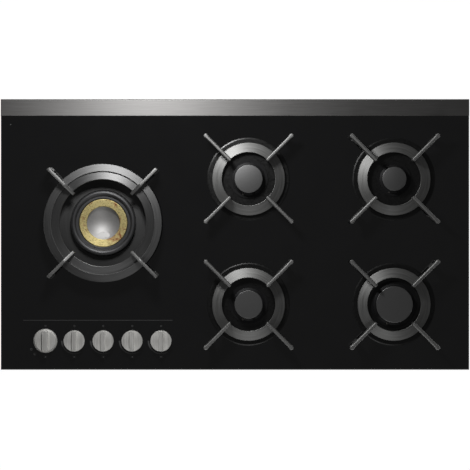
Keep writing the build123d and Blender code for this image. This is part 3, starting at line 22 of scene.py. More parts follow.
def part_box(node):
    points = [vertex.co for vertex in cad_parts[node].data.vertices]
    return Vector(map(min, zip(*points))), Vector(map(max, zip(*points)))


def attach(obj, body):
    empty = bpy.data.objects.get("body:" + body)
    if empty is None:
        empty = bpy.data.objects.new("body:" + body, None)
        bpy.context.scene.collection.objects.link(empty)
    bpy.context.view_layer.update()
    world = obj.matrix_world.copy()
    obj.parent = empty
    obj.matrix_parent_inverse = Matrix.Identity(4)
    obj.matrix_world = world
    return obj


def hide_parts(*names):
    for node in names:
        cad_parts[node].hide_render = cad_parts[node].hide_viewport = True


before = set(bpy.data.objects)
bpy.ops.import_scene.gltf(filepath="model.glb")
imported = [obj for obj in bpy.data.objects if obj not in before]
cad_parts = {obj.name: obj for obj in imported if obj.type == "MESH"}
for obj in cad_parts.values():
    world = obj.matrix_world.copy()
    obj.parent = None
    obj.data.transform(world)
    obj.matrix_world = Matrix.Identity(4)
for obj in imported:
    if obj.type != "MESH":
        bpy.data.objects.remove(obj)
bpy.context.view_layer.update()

Grid = NDArray[np.float64]
Point = tuple[float, float]
Tree = bpy.types.NodeTree
Socket = bpy.types.NodeSocket
Inputs = dict[str | int, object]

LOG = logging.getLogger("cooktop")
MM = 0.001
WELD = 2e-6
SMOOTH_BELOW = radians(50)


# ------------------------------------------------------------------ surfaces

@dataclass(frozen=True)
class Surface:
    """A grid of points, rows along u and columns along v, in mm.  Its faces look along du x dv.

    The first number of its flat map runs across the brushing, the second along it.
    """

    points: Grid
    flat: Grid
    centre: Point = (0.0, 0.0)

    def moved(self, x: float, y: float) -> Surface:
        """The surface shifted, with its centre: point + (x, y, 0)."""
        centre = (self.centre[0] + x, self.centre[1] + y)
        return replace(self, points=self.points + np.array((x, y, 0.0)), centre=centre)

    def turned(self, degrees: float) -> Surface:
        """The surface turned about the frame's upright axis: (x cos a - y sin a, x sin a + y cos a, z)."""
        c, s = np.cos(radians(degrees)), np.sin(radians(degrees))
        spin = np.array(((c, -s, 0.0), (s, c, 0.0), (0.0, 0.0, 1.0)))
        return replace(self, points=self.points @ spin.T)


def lengths(line: Grid) -> Grid:
    """Distance run along a line of points, from its first point to each."""
    steps = np.linalg.norm(np.diff(line, axis=0), axis=1)
    return np.concatenate(((0.0,), np.cumsum(steps)))


def rounded(corners: Sequence[Point], radius: float | Sequence[float], closed: bool = True,
            steps: int = 6) -> Grid:
    """Outline with soft corners.

    Each corner C becomes the curve (1-t)^2 A + 2t(1-t) C + t^2 B, where A and B lie a radius before and
    after it.

    Args:
        corners: the outline's corners in order.
        radius: one softening length for all corners, or one for each.
        closed: whether the last corner joins the first.
        steps: how many pieces each soft corner has.

    Returns:
        The points of the outline, the first one repeated at the end if it is closed.
    """
    here = np.array(corners, float)
    before, after = np.roll(here, 1, axis=0), np.roll(here, -1, axis=0)
    size = np.broadcast_to(np.array(radius, float), (len(here),))
    back, ahead = before - here, after - here
    room_back, room_ahead = np.linalg.norm(back, axis=1), np.linalg.norm(ahead, axis=1)
    size = np.minimum(size, 0.49 * np.minimum(room_back, room_ahead))
    if not closed:
        size = np.where(np.arange(len(here)) % (len(here) - 1) == 0, 0.0, size)
    start = here + back * (size / room_back)[:, None]
    end = here + ahead * (size / room_ahead)[:, None]
    t = np.linspace(0.0, 1.0, steps + 1)[None, :, None]
    bend = (1 - t) ** 2 * start[:, None] + 2 * t * (1 - t) * here[:, None] + t**2 * end[:, None]
    line = bend.reshape(-1, 2)
    keep = np.concatenate(((True,), np.linalg.norm(np.diff(line, axis=0), axis=1) > 1e-6))
    line = line[keep]
    return np.vstack((line, line[:1])) if closed else line


def lathe(profile: Grid, centre: Point, around: int = 144, comb: Grid | None = None) -> Surface:
    """A profile carried round an upright axis.

    point(u, v) = centre + (r(u) cos v, r(u) sin v, z(u)), with v from 0 to a full turn.

    Args:
        profile: points (r, z), from the inside outwards over the top.
        centre: where the axis stands.
        around: how many steps one turn has.
        comb: how far each point is drawn inwards, a grid of u by v, or nothing.

    Returns:
        The surface, with lengths along the profile and round it as its flat map.
    """
    turn = np.linspace(0.0, 2 * pi, around + 1)
    r = np.repeat(profile[:, :1], around + 1, axis=1)
    if comb is not None:
        r = r - comb
    z = np.repeat(profile[:, 1:], around + 1, axis=1)
    points = np.stack((r * np.cos(turn), r * np.sin(turn), z), -1)
    run = np.repeat(lengths(profile)[:, None], around + 1, axis=1)
    flat = np.stack((run, profile[:, 0].max() * np.broadcast_to(turn, run.shape)), -1)
    return Surface(points, flat).moved(*centre)


def skin(sections: Grid) -> Surface:
    """A surface through sections of equal point count: point(u, v) is point u of section v.

    Args:
        sections: a grid of section by point by coordinate.

    Returns:
        The surface, with lengths along and across as its flat map.
    """
    points = np.swapaxes(sections, 0, 1)
    along = lengths(points.mean(axis=0))
    across = lengths(points[:, len(along) // 2])
    flat = np.stack(np.broadcast_arrays(along[None, :], across[:, None]), -1)
    return Surface(points, flat)


def bar_skin(radii: Grid, side: Grid, lift: Grid) -> Surface:
    """A closed bar along +X: section v is its half section at radius r(v) and that half's mirror image.

    Args:
        radii: where each section stands.
        side: half widths of each section's points, from the underside's edge to the top's middle.
        lift: their heights.

    Returns:
        The skin through all sections, from the far end to the near one.
    """
    across = np.concatenate((-side, side[:, ::-1][:, 1:], -side[:, :1]), 1)
    height = np.concatenate((lift, lift[:, ::-1][:, 1:], lift[:, :1]), 1)
    along = np.broadcast_to(radii[:, None], across.shape)
    return skin(np.stack((along, -across, height), -1)[::-1])


def folded_sheet(outer: Grid, inner: Grid, low: float, high: float, steps: int = 60) -> list[Surface]:
    """A folded sheet along X: its outer and inner skins, its two long edges and its two ends.

    point(u, v) = (x(v), y(u), z(u)) for a skin; an end joins outer(u) and inner(u) in a straight line.

    Args:
        outer: points (y, z) of the outer skin.
        inner: points (y, z) of the inner skin, as many, opposite them.
        low: X of the left end.
        high: X of the right end.
        steps: how many pieces the length has.

    Returns:
        The surfaces of the closed sheet.
    """
    x = np.linspace(low, high, steps + 1)

    def run(line: Grid) -> Surface:
        """The line carried along X."""
        y, z = line[:, 0][:, None], line[:, 1][:, None]
        points = np.stack(np.broadcast_arrays(x[None, :], y, z), -1)
        flat = np.stack(np.broadcast_arrays(lengths(line)[:, None], x[None, :]), -1)
        return Surface(points, flat)

    def end(x_end: float, flip: bool) -> Surface:
        """The straight filling between both skins at one end."""
        both = np.stack((outer, inner) if flip else (inner, outer), 1)
        points = np.concatenate((np.full(both.shape[:2] + (1,), x_end), both), -1)
        return Surface(points, both)

    first = np.stack((inner[0], outer[0]))
    last = np.stack((outer[-1], inner[-1]))
    return [run(outer), run(inner[::-1]), run(first), run(last), end(low, False), end(high, True)]


def make_piece(name: str, surfaces: Iterable[Surface], body: str, finish: Finish,
               stands_for: Sequence[str] = ()) -> bpy.types.Object:
    """Joins surfaces into one piece of the object.

    Args:
        name: the piece's name.
        surfaces: its surfaces in mm.
        body: the moving body it rides on.
        finish: its finish.
        stands_for: solids of the frame that it replaces.

    Returns:
        The object, at the origin, with its place in its mesh.
    """
    surfaces = list(surfaces)
    points = np.concatenate([s.points.reshape(-1, 3) for s in surfaces])
    flat = np.concatenate([s.flat.reshape(-1, 2) for s in surfaces])
    centres = np.concatenate([np.broadcast_to(s.centre + (0.0,), s.points.shape).reshape(-1, 3)
                              for s in surfaces])
    faces, start = [], 0
    for surface in surfaces:
        rows, columns = surface.points.shape[:2]
        i = start + np.arange(rows * columns).reshape(rows, columns)
        faces.append(np.stack((i[:-1, :-1], i[1:, :-1], i[1:, 1:], i[:-1, 1:]), -1).reshape(-1, 4))
        start += rows * columns
    quads = np.concatenate(faces)
    mesh = bpy.data.meshes.new(name)
    mesh.from_pydata((points * MM).tolist(), [], quads.tolist())
    surface_map = mesh.uv_layers.new(name="surface")
    surface_map.data.foreach_set("uv", (flat[quads.ravel()] * MM).astype(np.float32).ravel())
    centred = mesh.attributes.new("centred", "FLOAT_VECTOR", "POINT")
    centred.data.foreach_set("vector", ((points - centres) * MM).astype(np.float32).ravel())
    shape = bmesh.new()
    shape.from_mesh(mesh)
    bmesh.ops.remove_doubles(shape, verts=shape.verts, dist=WELD)
    bmesh.ops.dissolve_degenerate(shape, dist=WELD, edges=shape.edges)
    shape.to_mesh(mesh)
    shape.free()
    mesh.shade_smooth()
    mesh.set_sharp_from_angle(angle=SMOOTH_BELOW)
    mesh.materials.append(material_of(finish))
    piece = bpy.data.objects.new(name, mesh)
    bpy.context.scene.collection.objects.link(piece)
    even = piece.modifiers.new("even_shading", "WEIGHTED_NORMAL")
    even.keep_sharp = True
    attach(piece, body)
    if stands_for:
        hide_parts(*stands_for)
    LOG.info("%s: %d faces on %s", name, len(mesh.polygons), body)
    return piece


# ------------------------------------------------------------------ finishes

def linear(colour: str) -> tuple[float, float, float, float]:
    """Linear colour of an sRGB value: ((c + 0.055) / 1.055)^2.4 above 0.04045 and c / 12.92 below.

    Args:
        colour: the value as #rrggbb.

    Returns:
        Red, green, blue and a full alpha.
    """
    c = np.array([int(colour[i:i + 2], 16) for i in (1, 3, 5)]) / 255
    r, g, b = np.where(c > 0.04045, ((c + 0.055) / 1.055) ** 2.4, c / 12.92)
    return float(r), float(g), float(b), 1.0


def add(tree: Tree, kind: str, inputs: Inputs | None = None, **settings: object) -> bpy.types.Node:
    """Adds a node with its settings, values and links.

    Args:
        tree: the material's or world's nodes.
        kind: the node's type.
        inputs: for each input by name or number, a value or the output that feeds it.
        settings: the node's own properties.

    Returns:
        The node.
    """
    node = tree.nodes.new(kind)
    for name, value in settings.items():
        setattr(node, name, value)
    for key, value in (inputs or {}).items():
        if isinstance(value, bpy.types.NodeSocket):
            tree.links.new(value, node.inputs[key])
        else:
            node.inputs[key].default_value = value
    return node


class Grain(Enum):
    """How the surface of a finish is marked."""

    BRUSHED_ACROSS = "fine lines along X"
    BRUSHED_DEEP = "fine lines along Y"
    TURNED = "fine circles about the piece's centre"
    CAST = "fine even pebbling"
    PITTED = "pores and stains of used cast brass"
    PEEL = "soft waves of a fired or moulded gloss"
    SPANGLE = "zinc flowers of galvanised sheet"


LONG_MARK = 45.0
STAIN_MM = 14.0
PORE_SPACING = 3.0


@dataclass(frozen=True)
class Finish:
    """One real material with the surface its making leaves.

    colour and dark are the ends of its colour variation, grain_mm the spacing of its marks and depth_mm
    their height.
    """

    name: str
    colour: str
    dark: str
    roughness: float
    grain: Grain
    grain_mm: float
    metallic: float = 0.0
    ior: float | None = None
    depth_mm: float = 0.01
    spread: float = 0.06
    anisotropy: float = 0.0

    def marks(self, tree: Tree) -> Socket:
        """Height of the marks, 0 to 1: noise whose scale is 1000 / mm on the axis across the marks.

        Args:
            tree: the material's nodes.

        Returns:
            The output that holds the height.
        """
        fine, long = 1 / (self.grain_mm * MM), 1 / (LONG_MARK * MM)
        if self.grain is Grain.TURNED:
            place = add(tree, "ShaderNodeAttribute", attribute_name="centred").outputs["Vector"]
            flat = add(tree, "ShaderNodeVectorMath", {0: place, 1: (1.0, 1.0, 0.0)},
                       operation="MULTIPLY").outputs[0]
            radius = add(tree, "ShaderNodeVectorMath", {0: flat}, operation="LENGTH").outputs["Value"]
            across = add(tree, "ShaderNodeMath", {0: radius, 1: fine}, operation="MULTIPLY").outputs[0]
            slow = add(tree, "ShaderNodeVectorMath", {0: flat, 1: (long, long, 0.0)},
                       operation="MULTIPLY").outputs[0]
            x, y, _ = add(tree, "ShaderNodeSeparateXYZ", {0: slow}).outputs
            where = add(tree, "ShaderNodeCombineXYZ", {0: x, 1: y, 2: across}).outputs[0]
        else:
            place = add(tree, "ShaderNodeTexCoord").outputs["Object"]
            scale = {Grain.BRUSHED_ACROSS: (long, fine, fine), Grain.BRUSHED_DEEP: (fine, long, fine)}
            where = add(tree, "ShaderNodeMapping",
                        {"Vector": place, "Scale": scale.get(self.grain, (fine, fine, fine))}).outputs[0]
        if self.grain is Grain.SPANGLE:
            return add(tree, "ShaderNodeTexVoronoi", {"Vector": where, "Scale": 1.0}).outputs["Color"]
        detail = 1.0 if self.grain is Grain.PEEL else 4.0
        return add(tree, "ShaderNodeTexNoise",
                   {"Vector": where, "Scale": 1.0, "Detail": detail, "Roughness": 0.6}).outputs["Fac"]

    def material(self) -> bpy.types.Material:
        """The node material of this finish.

        Returns:
            The material: colour and roughness follow the marks, and a bump gives them their depth.
        """
        made = bpy.data.materials.new(self.name)
        made.use_nodes = True
        tree = made.node_tree
        tree.nodes.clear()
        height = self.marks(tree)
        low, high = self.roughness - self.spread, self.roughness + self.spread
        rough = add(tree, "ShaderNodeMapRange", {"Value": height, "From Min": 0.25, "From Max": 0.75,
                                                 "To Min": low, "To Max": high}).outputs[0]
        tone = add(tree, "ShaderNodeMapRange",
                   {"Value": height, "From Min": 0.3, "From Max": 0.7}).outputs[0]
        base = add(tree, "ShaderNodeMix", {0: tone, 6: linear(self.dark), 7: linear(self.colour)},
                   data_type="RGBA").outputs[2]
        if self.grain is Grain.PITTED:
            base, height = self.used_brass(tree, base)
        bump = add(tree, "ShaderNodeBump",
                   {"Height": height, "Distance": self.depth_mm * MM, "Strength": 1.0}).outputs[0]
        inputs: Inputs = {"Base Color": base, "Roughness": rough, "Metallic": self.metallic,
                          "Normal": bump, "Anisotropic": self.anisotropy}
        if self.ior is not None:
            inputs["IOR"] = self.ior
        if self.anisotropy:
            inputs["Tangent"] = add(tree, "ShaderNodeTangent", direction_type="UV_MAP",
                                    uv_map="surface").outputs[0]
        shader = add(tree, "ShaderNodeBsdfPrincipled", inputs)
        add(tree, "ShaderNodeOutputMaterial", {"Surface": shader.outputs[0]})
        return made

    @staticmethod
    def used_brass(tree: Tree, base: Socket) -> tuple[Socket, Socket]:
        """Stains and pores of brass that has stood in flames.

        The pores are about 1.4 mm wide, coarser than real ones, so that they show.

        Args:
            tree: the material's nodes.
            base: the colour before stains.

        Returns:
            The stained colour, and the height, which is 0 in a pore and 1 outside.
        """
        place = add(tree, "ShaderNodeTexCoord").outputs["Object"]
        stain = add(tree, "ShaderNodeTexNoise",
                    {"Vector": place, "Scale": 1 / (STAIN_MM * MM), "Detail": 3.0}).outputs["Fac"]
        red = add(tree, "ShaderNodeMapRange",
                  {"Value": stain, "From Min": 0.56, "From Max": 0.7}).outputs[0]
        stained = add(tree, "ShaderNodeMix", {0: red, 6: base, 7: linear("#a06a48")},
                      data_type="RGBA").outputs[2]
        cells = add(tree, "ShaderNodeTexVoronoi",
                    {"Vector": place, "Scale": 1 / (PORE_SPACING * MM), "Randomness": 1.0})
        outside = add(tree, "ShaderNodeMapRange",
                      {"Value": cells.outputs["Distance"], "From Min": 0.16, "From Max": 0.3}).outputs[0]
        colour = add(tree, "ShaderNodeMix", {0: outside, 6: linear("#4a3a26"), 7: stained},
                     data_type="RGBA").outputs[2]
        return colour, outside


# Where the real marks are finer than about half a millimetre, they are drawn as coarse as grain_mm says,
# so that they show.

# Toughened soda-lime glass printed black from below: near-black, mirror gloss, almost no texture.  Its index
# is set above glass's 1.52, because its printed back mirrors too.
BLACK_GLASS = Finish("toughened_black_glass", "#0d0d0e", "#0b0b0c", 0.06, Grain.PEEL, 60.0, ior=1.8,
                     depth_mm=0.0004, spread=0.01)
# Dark-toned stainless sheet, belt-brushed lengthways: the light runs out across the lines.
STRIP_STEEL = Finish("brushed_dark_stainless", "#828180", "#747372", 0.51, Grain.BRUSHED_ACROSS, 0.9,
                     metallic=1.0, depth_mm=0.002, anisotropy=0.53, spread=0.02)
# Cast iron, ground in circles and enamelled thin in dark grey: a satin sheen that still shows the grinding.
SUPPORT_ENAMEL = Finish("satin_enamelled_cast_iron", "#8c8c8b", "#757574", 0.5, Grain.TURNED, 2.2,
                        metallic=1.0, depth_mm=0.012, anisotropy=0.15, spread=0.04)
# The same on the wok ring's outer part, which is ground finer.
WOK_RING_ENAMEL = Finish("fine_enamelled_cast_iron", "#747474", "#646464", 0.49, Grain.TURNED, 2.0,
                         metallic=1.0, depth_mm=0.006, anisotropy=0.1, spread=0.03)
# Its inner band, turned on a lathe: the highlight opens like a fan towards the light.
BAND_ENAMEL = Finish("turned_dark_band", "#757575", "#6a6a6a", 0.44, Grain.TURNED, 1.4, metallic=1.0,
                     depth_mm=0.002, anisotropy=0.62, spread=0.02)
# The same iron on the arms, which are ground by hand: satin with no direction.
ARM_ENAMEL = Finish("satin_enamelled_arms", "#949493", "#858584", 0.52, Grain.CAST, 1.6, metallic=1.0,
                    depth_mm=0.004)
# Cast caps fired with dark metallic enamel: fine flakes give a soft wide sheen.
CAP_ENAMEL = Finish("flaked_fired_enamel", "#7c7c7c", "#757575", 0.43, Grain.PEEL, 1.5, metallic=1.0,
                    depth_mm=0.002, spread=0.02)
# Steel pressing fired with black enamel, as dishes have.
DISH_ENAMEL = Finish("black_enamelled_dish", "#0b0b0b", "#090909", 0.32, Grain.PEEL, 4.0, ior=1.5,
                     depth_mm=0.0005)
# The wok burner's dish: the same pressing, its enamel painted a lighter metallic grey than the small dishes'
# so that its part in the support ring's shadow still reads lit: painted light.
WOK_DISH_LIGHTENED_ENAMEL = Finish("dish_enamel_lightened_as_painted_light", "#5e5e5e", "#545454", 0.72, Grain.TURNED, 3.0,
                         metallic=1.0, depth_mm=0.002, spread=0.02)
# Die-cast aluminium blackened by heat: grey-black, pebbled.
CAST_METAL = Finish("blackened_die_casting", "#1b1b1c", "#151516", 0.5, Grain.CAST, 0.8, metallic=0.6,
                    depth_mm=0.01)
# Die-cast aluminium turned on a lathe and darkened, on the wok burner's outer ring.
WOK_METAL = Finish("turned_dark_casting", "#5c5c5d", "#525253", 0.5, Grain.TURNED, 1.6, metallic=1.0,
                   depth_mm=0.002, anisotropy=0.2, spread=0.02)
# Cast brass that has been heated: sand-gold, pored, stained.
RING_BRASS = Finish("heated_cast_brass", "#ece0a8", "#b8a468", 0.56, Grain.PITTED, 1.4, metallic=1.0,
                    depth_mm=0.2, anisotropy=0.3)
# Stainless steel pressing, dull-polished: wide soft gradients.
BOWL_STEEL = Finish("dull_polished_stainless", "#c0bfbe", "#b6b5b4", 0.6, Grain.PEEL, 2.0, metallic=1.0,
                    depth_mm=0.002, spread=0.02)
# Zinc alloy, nickel plated and brushed from front to back, on the knobs.
KNOB_STEEL = Finish("brushed_nickel_plate", "#f0efec", "#cbcac6", 0.62, Grain.BRUSHED_DEEP, 1.6,
                    metallic=0.7, depth_mm=0.006, anisotropy=0.3)
# Galvanised steel sheet, pressed: cool grey with zinc flowers about 8 mm wide.
PRESSED_STEEL = Finish("galvanised_pressing", "#a7abad", "#8d9193", 0.42, Grain.SPANGLE, 8.0, metallic=0.9,
                       depth_mm=0.002)
# Closed-cell foam tape, black: dull and open-pored at its cut edge.
FOAM = Finish("closed_cell_foam", "#1a1a1a", "#101010", 0.9, Grain.CAST, 0.7, depth_mm=0.08)
# Machined brass rod: bright gold with fine tool lines.
VALVE_BRASS = Finish("machined_brass", "#c9a862", "#b3924f", 0.3, Grain.BRUSHED_DEEP, 0.5, metallic=1.0,
                     depth_mm=0.003)
# Alumina ceramic, glazed: warm white and glossy.
CERAMIC = Finish("glazed_alumina", "#e6e2d8", "#dcd7cc", 0.25, Grain.PEEL, 2.0, ior=1.6, depth_mm=0.003)
# Turned or drawn steel, zinc plated: cool bright grey.
PLAIN_STEEL = Finish("zinc_plated_steel", "#9c9ea0", "#85878a", 0.35, Grain.CAST, 1.0, metallic=1.0,
                     depth_mm=0.004)
# The same steel blued and sooted by the flames: almost black, half dull.
SOOTED_STEEL = Finish("sooted_steel", "#2e2c2b", "#232221", 0.5, Grain.CAST, 1.0, metallic=0.7,
                      depth_mm=0.004)
# Glass-filled nylon, moulded black: a fine eroded grain.
BLACK_PLASTIC = Finish("moulded_nylon", "#1c1c1d", "#161617", 0.5, Grain.CAST, 0.6, ior=1.53, depth_mm=0.02)
# Silicone rubber, moulded black, a little dusty.
RUBBER = Finish("moulded_silicone", "#232323", "#1a1a1a", 0.7, Grain.CAST, 0.9, ior=1.43, depth_mm=0.02)
# Aluminium tube, drawn: pale, with faint lines along it.
DRAWN_ALUMINIUM = Finish("drawn_aluminium", "#bfc1c3", "#a9abad", 0.35, Grain.BRUSHED_ACROSS, 0.6,
                         metallic=1.0, depth_mm=0.003)
# Ceramic ink fired on the glass: flat pale grey, and the same much dimmer.
PRINT_PALE = Finish("fired_pale_ink", "#9a9a9a", "#8a8a8a", 0.5, Grain.CAST, 0.6, ior=1.5, depth_mm=0.001)
PRINT_DIM = Finish("fired_dim_ink", "#4c4c4c", "#414141", 0.5, Grain.CAST, 0.6, ior=1.5, depth_mm=0.001)


@cache
def material_of(finish: Finish) -> bpy.types.Material:
    """The material of a finish, made when it is first asked for."""
    return finish.material()


def middle_of(node: str) -> Point:
    """Plan position of a solid's middle, in mm."""
    low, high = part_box(node)
    centre = (low + high) / 2 / MM
    return centre.x, centre.y


# ------------------------------------------------------------------ sub-assemblies

class Assembly(ABC):
    """A group of pieces that is built and dressed together."""

    @abstractmethod
    def build(self) -> None:
        """Makes the group's pieces and gives them their finishes."""


@dataclass
class CarriedSolids(Assembly):
    """Solids whose shape is right already: they keep it and get a finish."""

    finishes: dict[Finish, tuple[str, ...]] = field(default_factory=lambda: {
        BLACK_GLASS: ("glass_top",), FOAM: ("glass_seal",), CERAMIC: ("spark_insulators",),
        PRESSED_STEEL: ("bottom_box", "burner_frame", "clamp_brackets", "valve_bracket"),
        CAST_METAL: ("burner_cups", "burner_crown"), DRAWN_ALUMINIUM: ("gas_tubes",),
        VALVE_BRASS: ("injectors", "valve_bodies", "inlet_fitting", "valve_plug"),
        SOOTED_STEEL: ("spark_pins", "flame_probes", "screws"),
        PLAIN_STEEL: ("stem_springs", "gas_rail", "valve_stem"), RUBBER: ("ignition_leads", "rubber_feet"),
        BLACK_PLASTIC: ("ignition_switches", "knob_bezels", "spark_generator", "terminal_box")})

    def build(self) -> None:
        """Gives each carried solid the finish under which the start of its name is listed."""
        for name, node in sorted(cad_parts.items()):
            for finish, starts in self.finishes.items():
                if name.startswith(starts):
                    node.data.materials.clear()
                    node.data.materials.append(material_of(finish))
                    LOG.info("%s: %s", name, finish.name)


@dataclass
class RearStrip(Assembly):
    """Brushed steel strip folded over the back edge of the glass."""

    sheet: float = 1.2
    fold: float = 1.6
    inner_fold: float = 0.6
    chamfer: float = 0.3
    chamfer_soft: float = 0.2

    def build(self) -> None:
        """Sweeps the folded section along the back edge."""
        low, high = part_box("rear_trim")
        x0, y0, z0 = low / MM
        x1, y1, z1 = high / MM
        chamfer, soft, t = self.chamfer, self.chamfer_soft, self.sheet
        outer = rounded(((y0, z1 - chamfer), (y0 + chamfer, z1), (y1, z1), (y1, z0)),
                        (soft, soft, self.fold, 0.0), closed=False)
        inner = rounded(((y0, z1 - t), (y0 + chamfer, z1 - t), (y1 - t, z1 - t), (y1 - t, z0)),
                        (soft, soft, self.inner_fold, 0.0), closed=False)
        make_piece("steel_strip", folded_sheet(outer, inner, x0, x1), "cooktop", STRIP_STEEL,
                   ["rear_trim"])


@dataclass
class Dish:
    """Enamelled disc on the glass round a burner; the wok burner's rises inwards to a low cone."""

    centre: Point
    hole: float
    cone_r: float = 0.0
    cone_rise: float = 3.8
    radius: float = 79.5
    base: float = 10.0
    sheet: float = 1.0
    cone_top: float = 1.0
    bevel: float = 2.4
    bevel_drop: float = 0.6
    soft: float = 0.4

    def surface(self) -> Surface:
        """The disc as a lathe of its section: hole wall, flat or cone, and an edge falling to the glass."""
        top, peak = self.base + self.sheet, self.base + self.sheet + self.cone_rise
        cone = ((self.cone_r, top), (self.cone_r, peak), (self.cone_r + self.cone_top, peak))
        corners = ((self.hole, self.base), (self.hole, top), *(cone if self.cone_r else ()),
                   (self.radius - self.bevel, top), (self.radius, top - self.bevel_drop),
                   (self.radius, self.base))
        return lathe(rounded(corners, self.soft), self.centre)


@dataclass
class Dishes(Assembly):
    """All five dishes: the small ones, and the wok burner's with its cone."""

    holes: dict[str, float] = field(default_factory=lambda: {
        "pan_support_rear_middle": 33.0, "pan_support_rear_right": 29.0, "pan_support_front_middle": 33.0,
        "pan_support_front_right": 41.0})
    wok_hole: float = 52.5
    wok_cone: float = 63.0
    wok_reach: float = 86.0

    def build(self) -> None:
        """Makes the five dishes."""
        discs = [Dish(middle_of(node), hole).surface() for node, hole in self.holes.items()]
        make_piece("dishes", discs, "cooktop", DISH_ENAMEL, ["burner_dishes"])
        wok = Dish(middle_of("pan_support_wok"), self.wok_hole, self.wok_cone, radius=self.wok_reach)
        # The wok dish gets the lightened enamel, painted light over the zone that the support ring shades.
        make_piece("wok_dish", [wok.surface()], "cooktop", WOK_DISH_LIGHTENED_ENAMEL)


@dataclass
class Cap:
    """Enamelled burner cap: top crowned like a lens, rounded edge, and a lip below."""

    place: str
    crown: float = 1.4
    edge: float = 3.6
    lip_in: float = 8.0
    lip_drop: float = 2.5
    lip_wall: float = 2.0
    soft: float = 0.3

    def build(self) -> None:
        """Turns the cap's section about its centre."""
        node = f"burner_cap_{self.place}"
        low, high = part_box(node)
        radius, top = (high.x - low.x) / 2 / MM, high.z / MM
        bottom = low.z / MM + self.lip_drop
        outer, foot = radius - self.lip_in, bottom - self.lip_drop
        inner = outer - self.lip_wall
        corners = ((radius, top - self.crown), (radius, bottom), (outer, bottom), (outer, foot),
                   (inner, foot), (inner, bottom), (0.0, bottom))
        share = np.linspace(0.0, 1.0, 13)[:-1]
        lens = np.stack((radius * share, top - self.crown * share * share), 1)
        soft = (*(0.0,) * len(lens), self.edge, 0.5, *(self.soft,) * 4, 0.0)
        profile = rounded((*lens, *corners), soft, closed=False, steps=8)
        make_piece(f"cap_{self.place}", [lathe(profile, middle_of(node))], f"cap_{self.place}",
                   CAP_ENAMEL, [node])


@dataclass
class SmallSupport:
    """Small pan support: sloping ring and four roof-topped arms on its diagonals."""

    place: str
    inner: float = 51.0
    outer: float = 70.0
    bottom: float = 15.5
    inner_top: float = 24.5
    outer_top: float = 19.1
    arm_start: float = 48.6
    arm_end: float = 120.0
    arm_half: float = 3.5
    tip_half: float = 4.5
    top: float = 52.0
    roof: float = 2.4
    foot: float = 13.0
    leg: float = 103.0
    leg_half: float = 4.0
    haunch: float = 7.0
    haunch_drop: float = 21.0
    web_drop: float = 14.0
    tip_drop: float = 7.0
    soft: float = 0.6

    def ring(self) -> Surface:
        """The ring as a lathe of its section, with soft edges."""
        corners = ((self.inner, self.bottom), (self.inner, self.inner_top), (self.outer, self.outer_top),
                   (self.outer, self.bottom))
        return lathe(rounded(corners, (0.5, 1.3, 1.0, 0.5)), (0.0, 0.0), 180)

    def arm(self) -> Surface:
        """One arm along +X: sections across it at each radius, roof-shaped above and straight-sided below.

        half width = sqrt(w^2 - (r - rc)^2) inside the round ends; the eaves lie a roof height under the
        crest, and the crest falls to the eaves where the arm is narrower than the roof.

        Returns:
            The arm's closed skin.
        """
        start, end, wide, tip, leg = self.arm_start, self.arm_end, self.arm_half, self.tip_half, self.leg
        near_leg, past_leg = leg - 2 * self.leg_half, leg + 2 * self.leg_half
        fine = 1 - np.cos(np.linspace(0.0, pi / 2, 9))
        stations = (start + wide, self.outer - 10.0, self.outer - 0.1, self.outer + 0.1,
                    self.outer + self.haunch, self.outer + 20.0, near_leg, leg - self.leg_half, leg,
                    leg + self.leg_half, leg + 1.5 * self.leg_half, past_leg)
        radii = np.unique(np.concatenate((start + wide * fine[:-1], stations, end - tip * fine[::-1])))
        growth = np.interp(radii, (end - 10.0, end - tip), (wide, tip))
        near = np.clip(1 - (radii - start) / wide, 0.0, 1.0)
        far = np.clip(1 - (end - radii) / tip, 0.0, 1.0)
        half = growth * np.sqrt(np.clip(1 - near**2, 0, 1)) * np.sqrt(np.clip(1 - far**2, 0, 1))
        places = (start, self.outer, self.outer + self.haunch, near_leg, leg - self.leg_half,
                  leg + self.leg_half, past_leg, end)
        below = np.interp(radii, places, (self.bottom, self.bottom, self.top - self.haunch_drop,
                                          self.top - self.web_drop, self.foot, self.foot,
                                          self.top - self.web_drop, self.top - self.tip_drop))
        eaves = np.full(radii.shape, self.top - self.roof)
        crest = eaves + np.minimum(self.roof, half)
        ridge = np.maximum(half - self.roof, 0.0)
        turn = np.linspace(0.0, pi / 2, 6)
        shoulder = ridge[:, None] + (half - ridge)[:, None] * np.cos(turn)
        rise = eaves[:, None] + (crest - eaves)[:, None] * np.sin(turn)
        low = below + self.soft
        side = np.column_stack((half - self.soft * (half > 1), half, half, shoulder, 0.5 * ridge, 0 * half))
        lift = np.column_stack((below, low, 0.5 * (low + eaves), rise, crest, crest))
        return bar_skin(radii, side, lift)

    def build(self) -> None:
        """Makes the ring and the arms of one support."""
        node = f"pan_support_{self.place}"
        x, y = middle_of(node)
        arm, body, slot = self.arm(), f"support_{self.place}", "support_enamel"
        make_piece(f"{node}_ring", [self.ring().moved(x, y)], body, SUPPORT_ENAMEL, [node])
        arms = [replace(arm.turned(45 + 90 * n), centre=(0.0, 0.0)).moved(x, y) for n in range(4)]
        make_piece(f"{node}_arms", arms, body, ARM_ENAMEL)


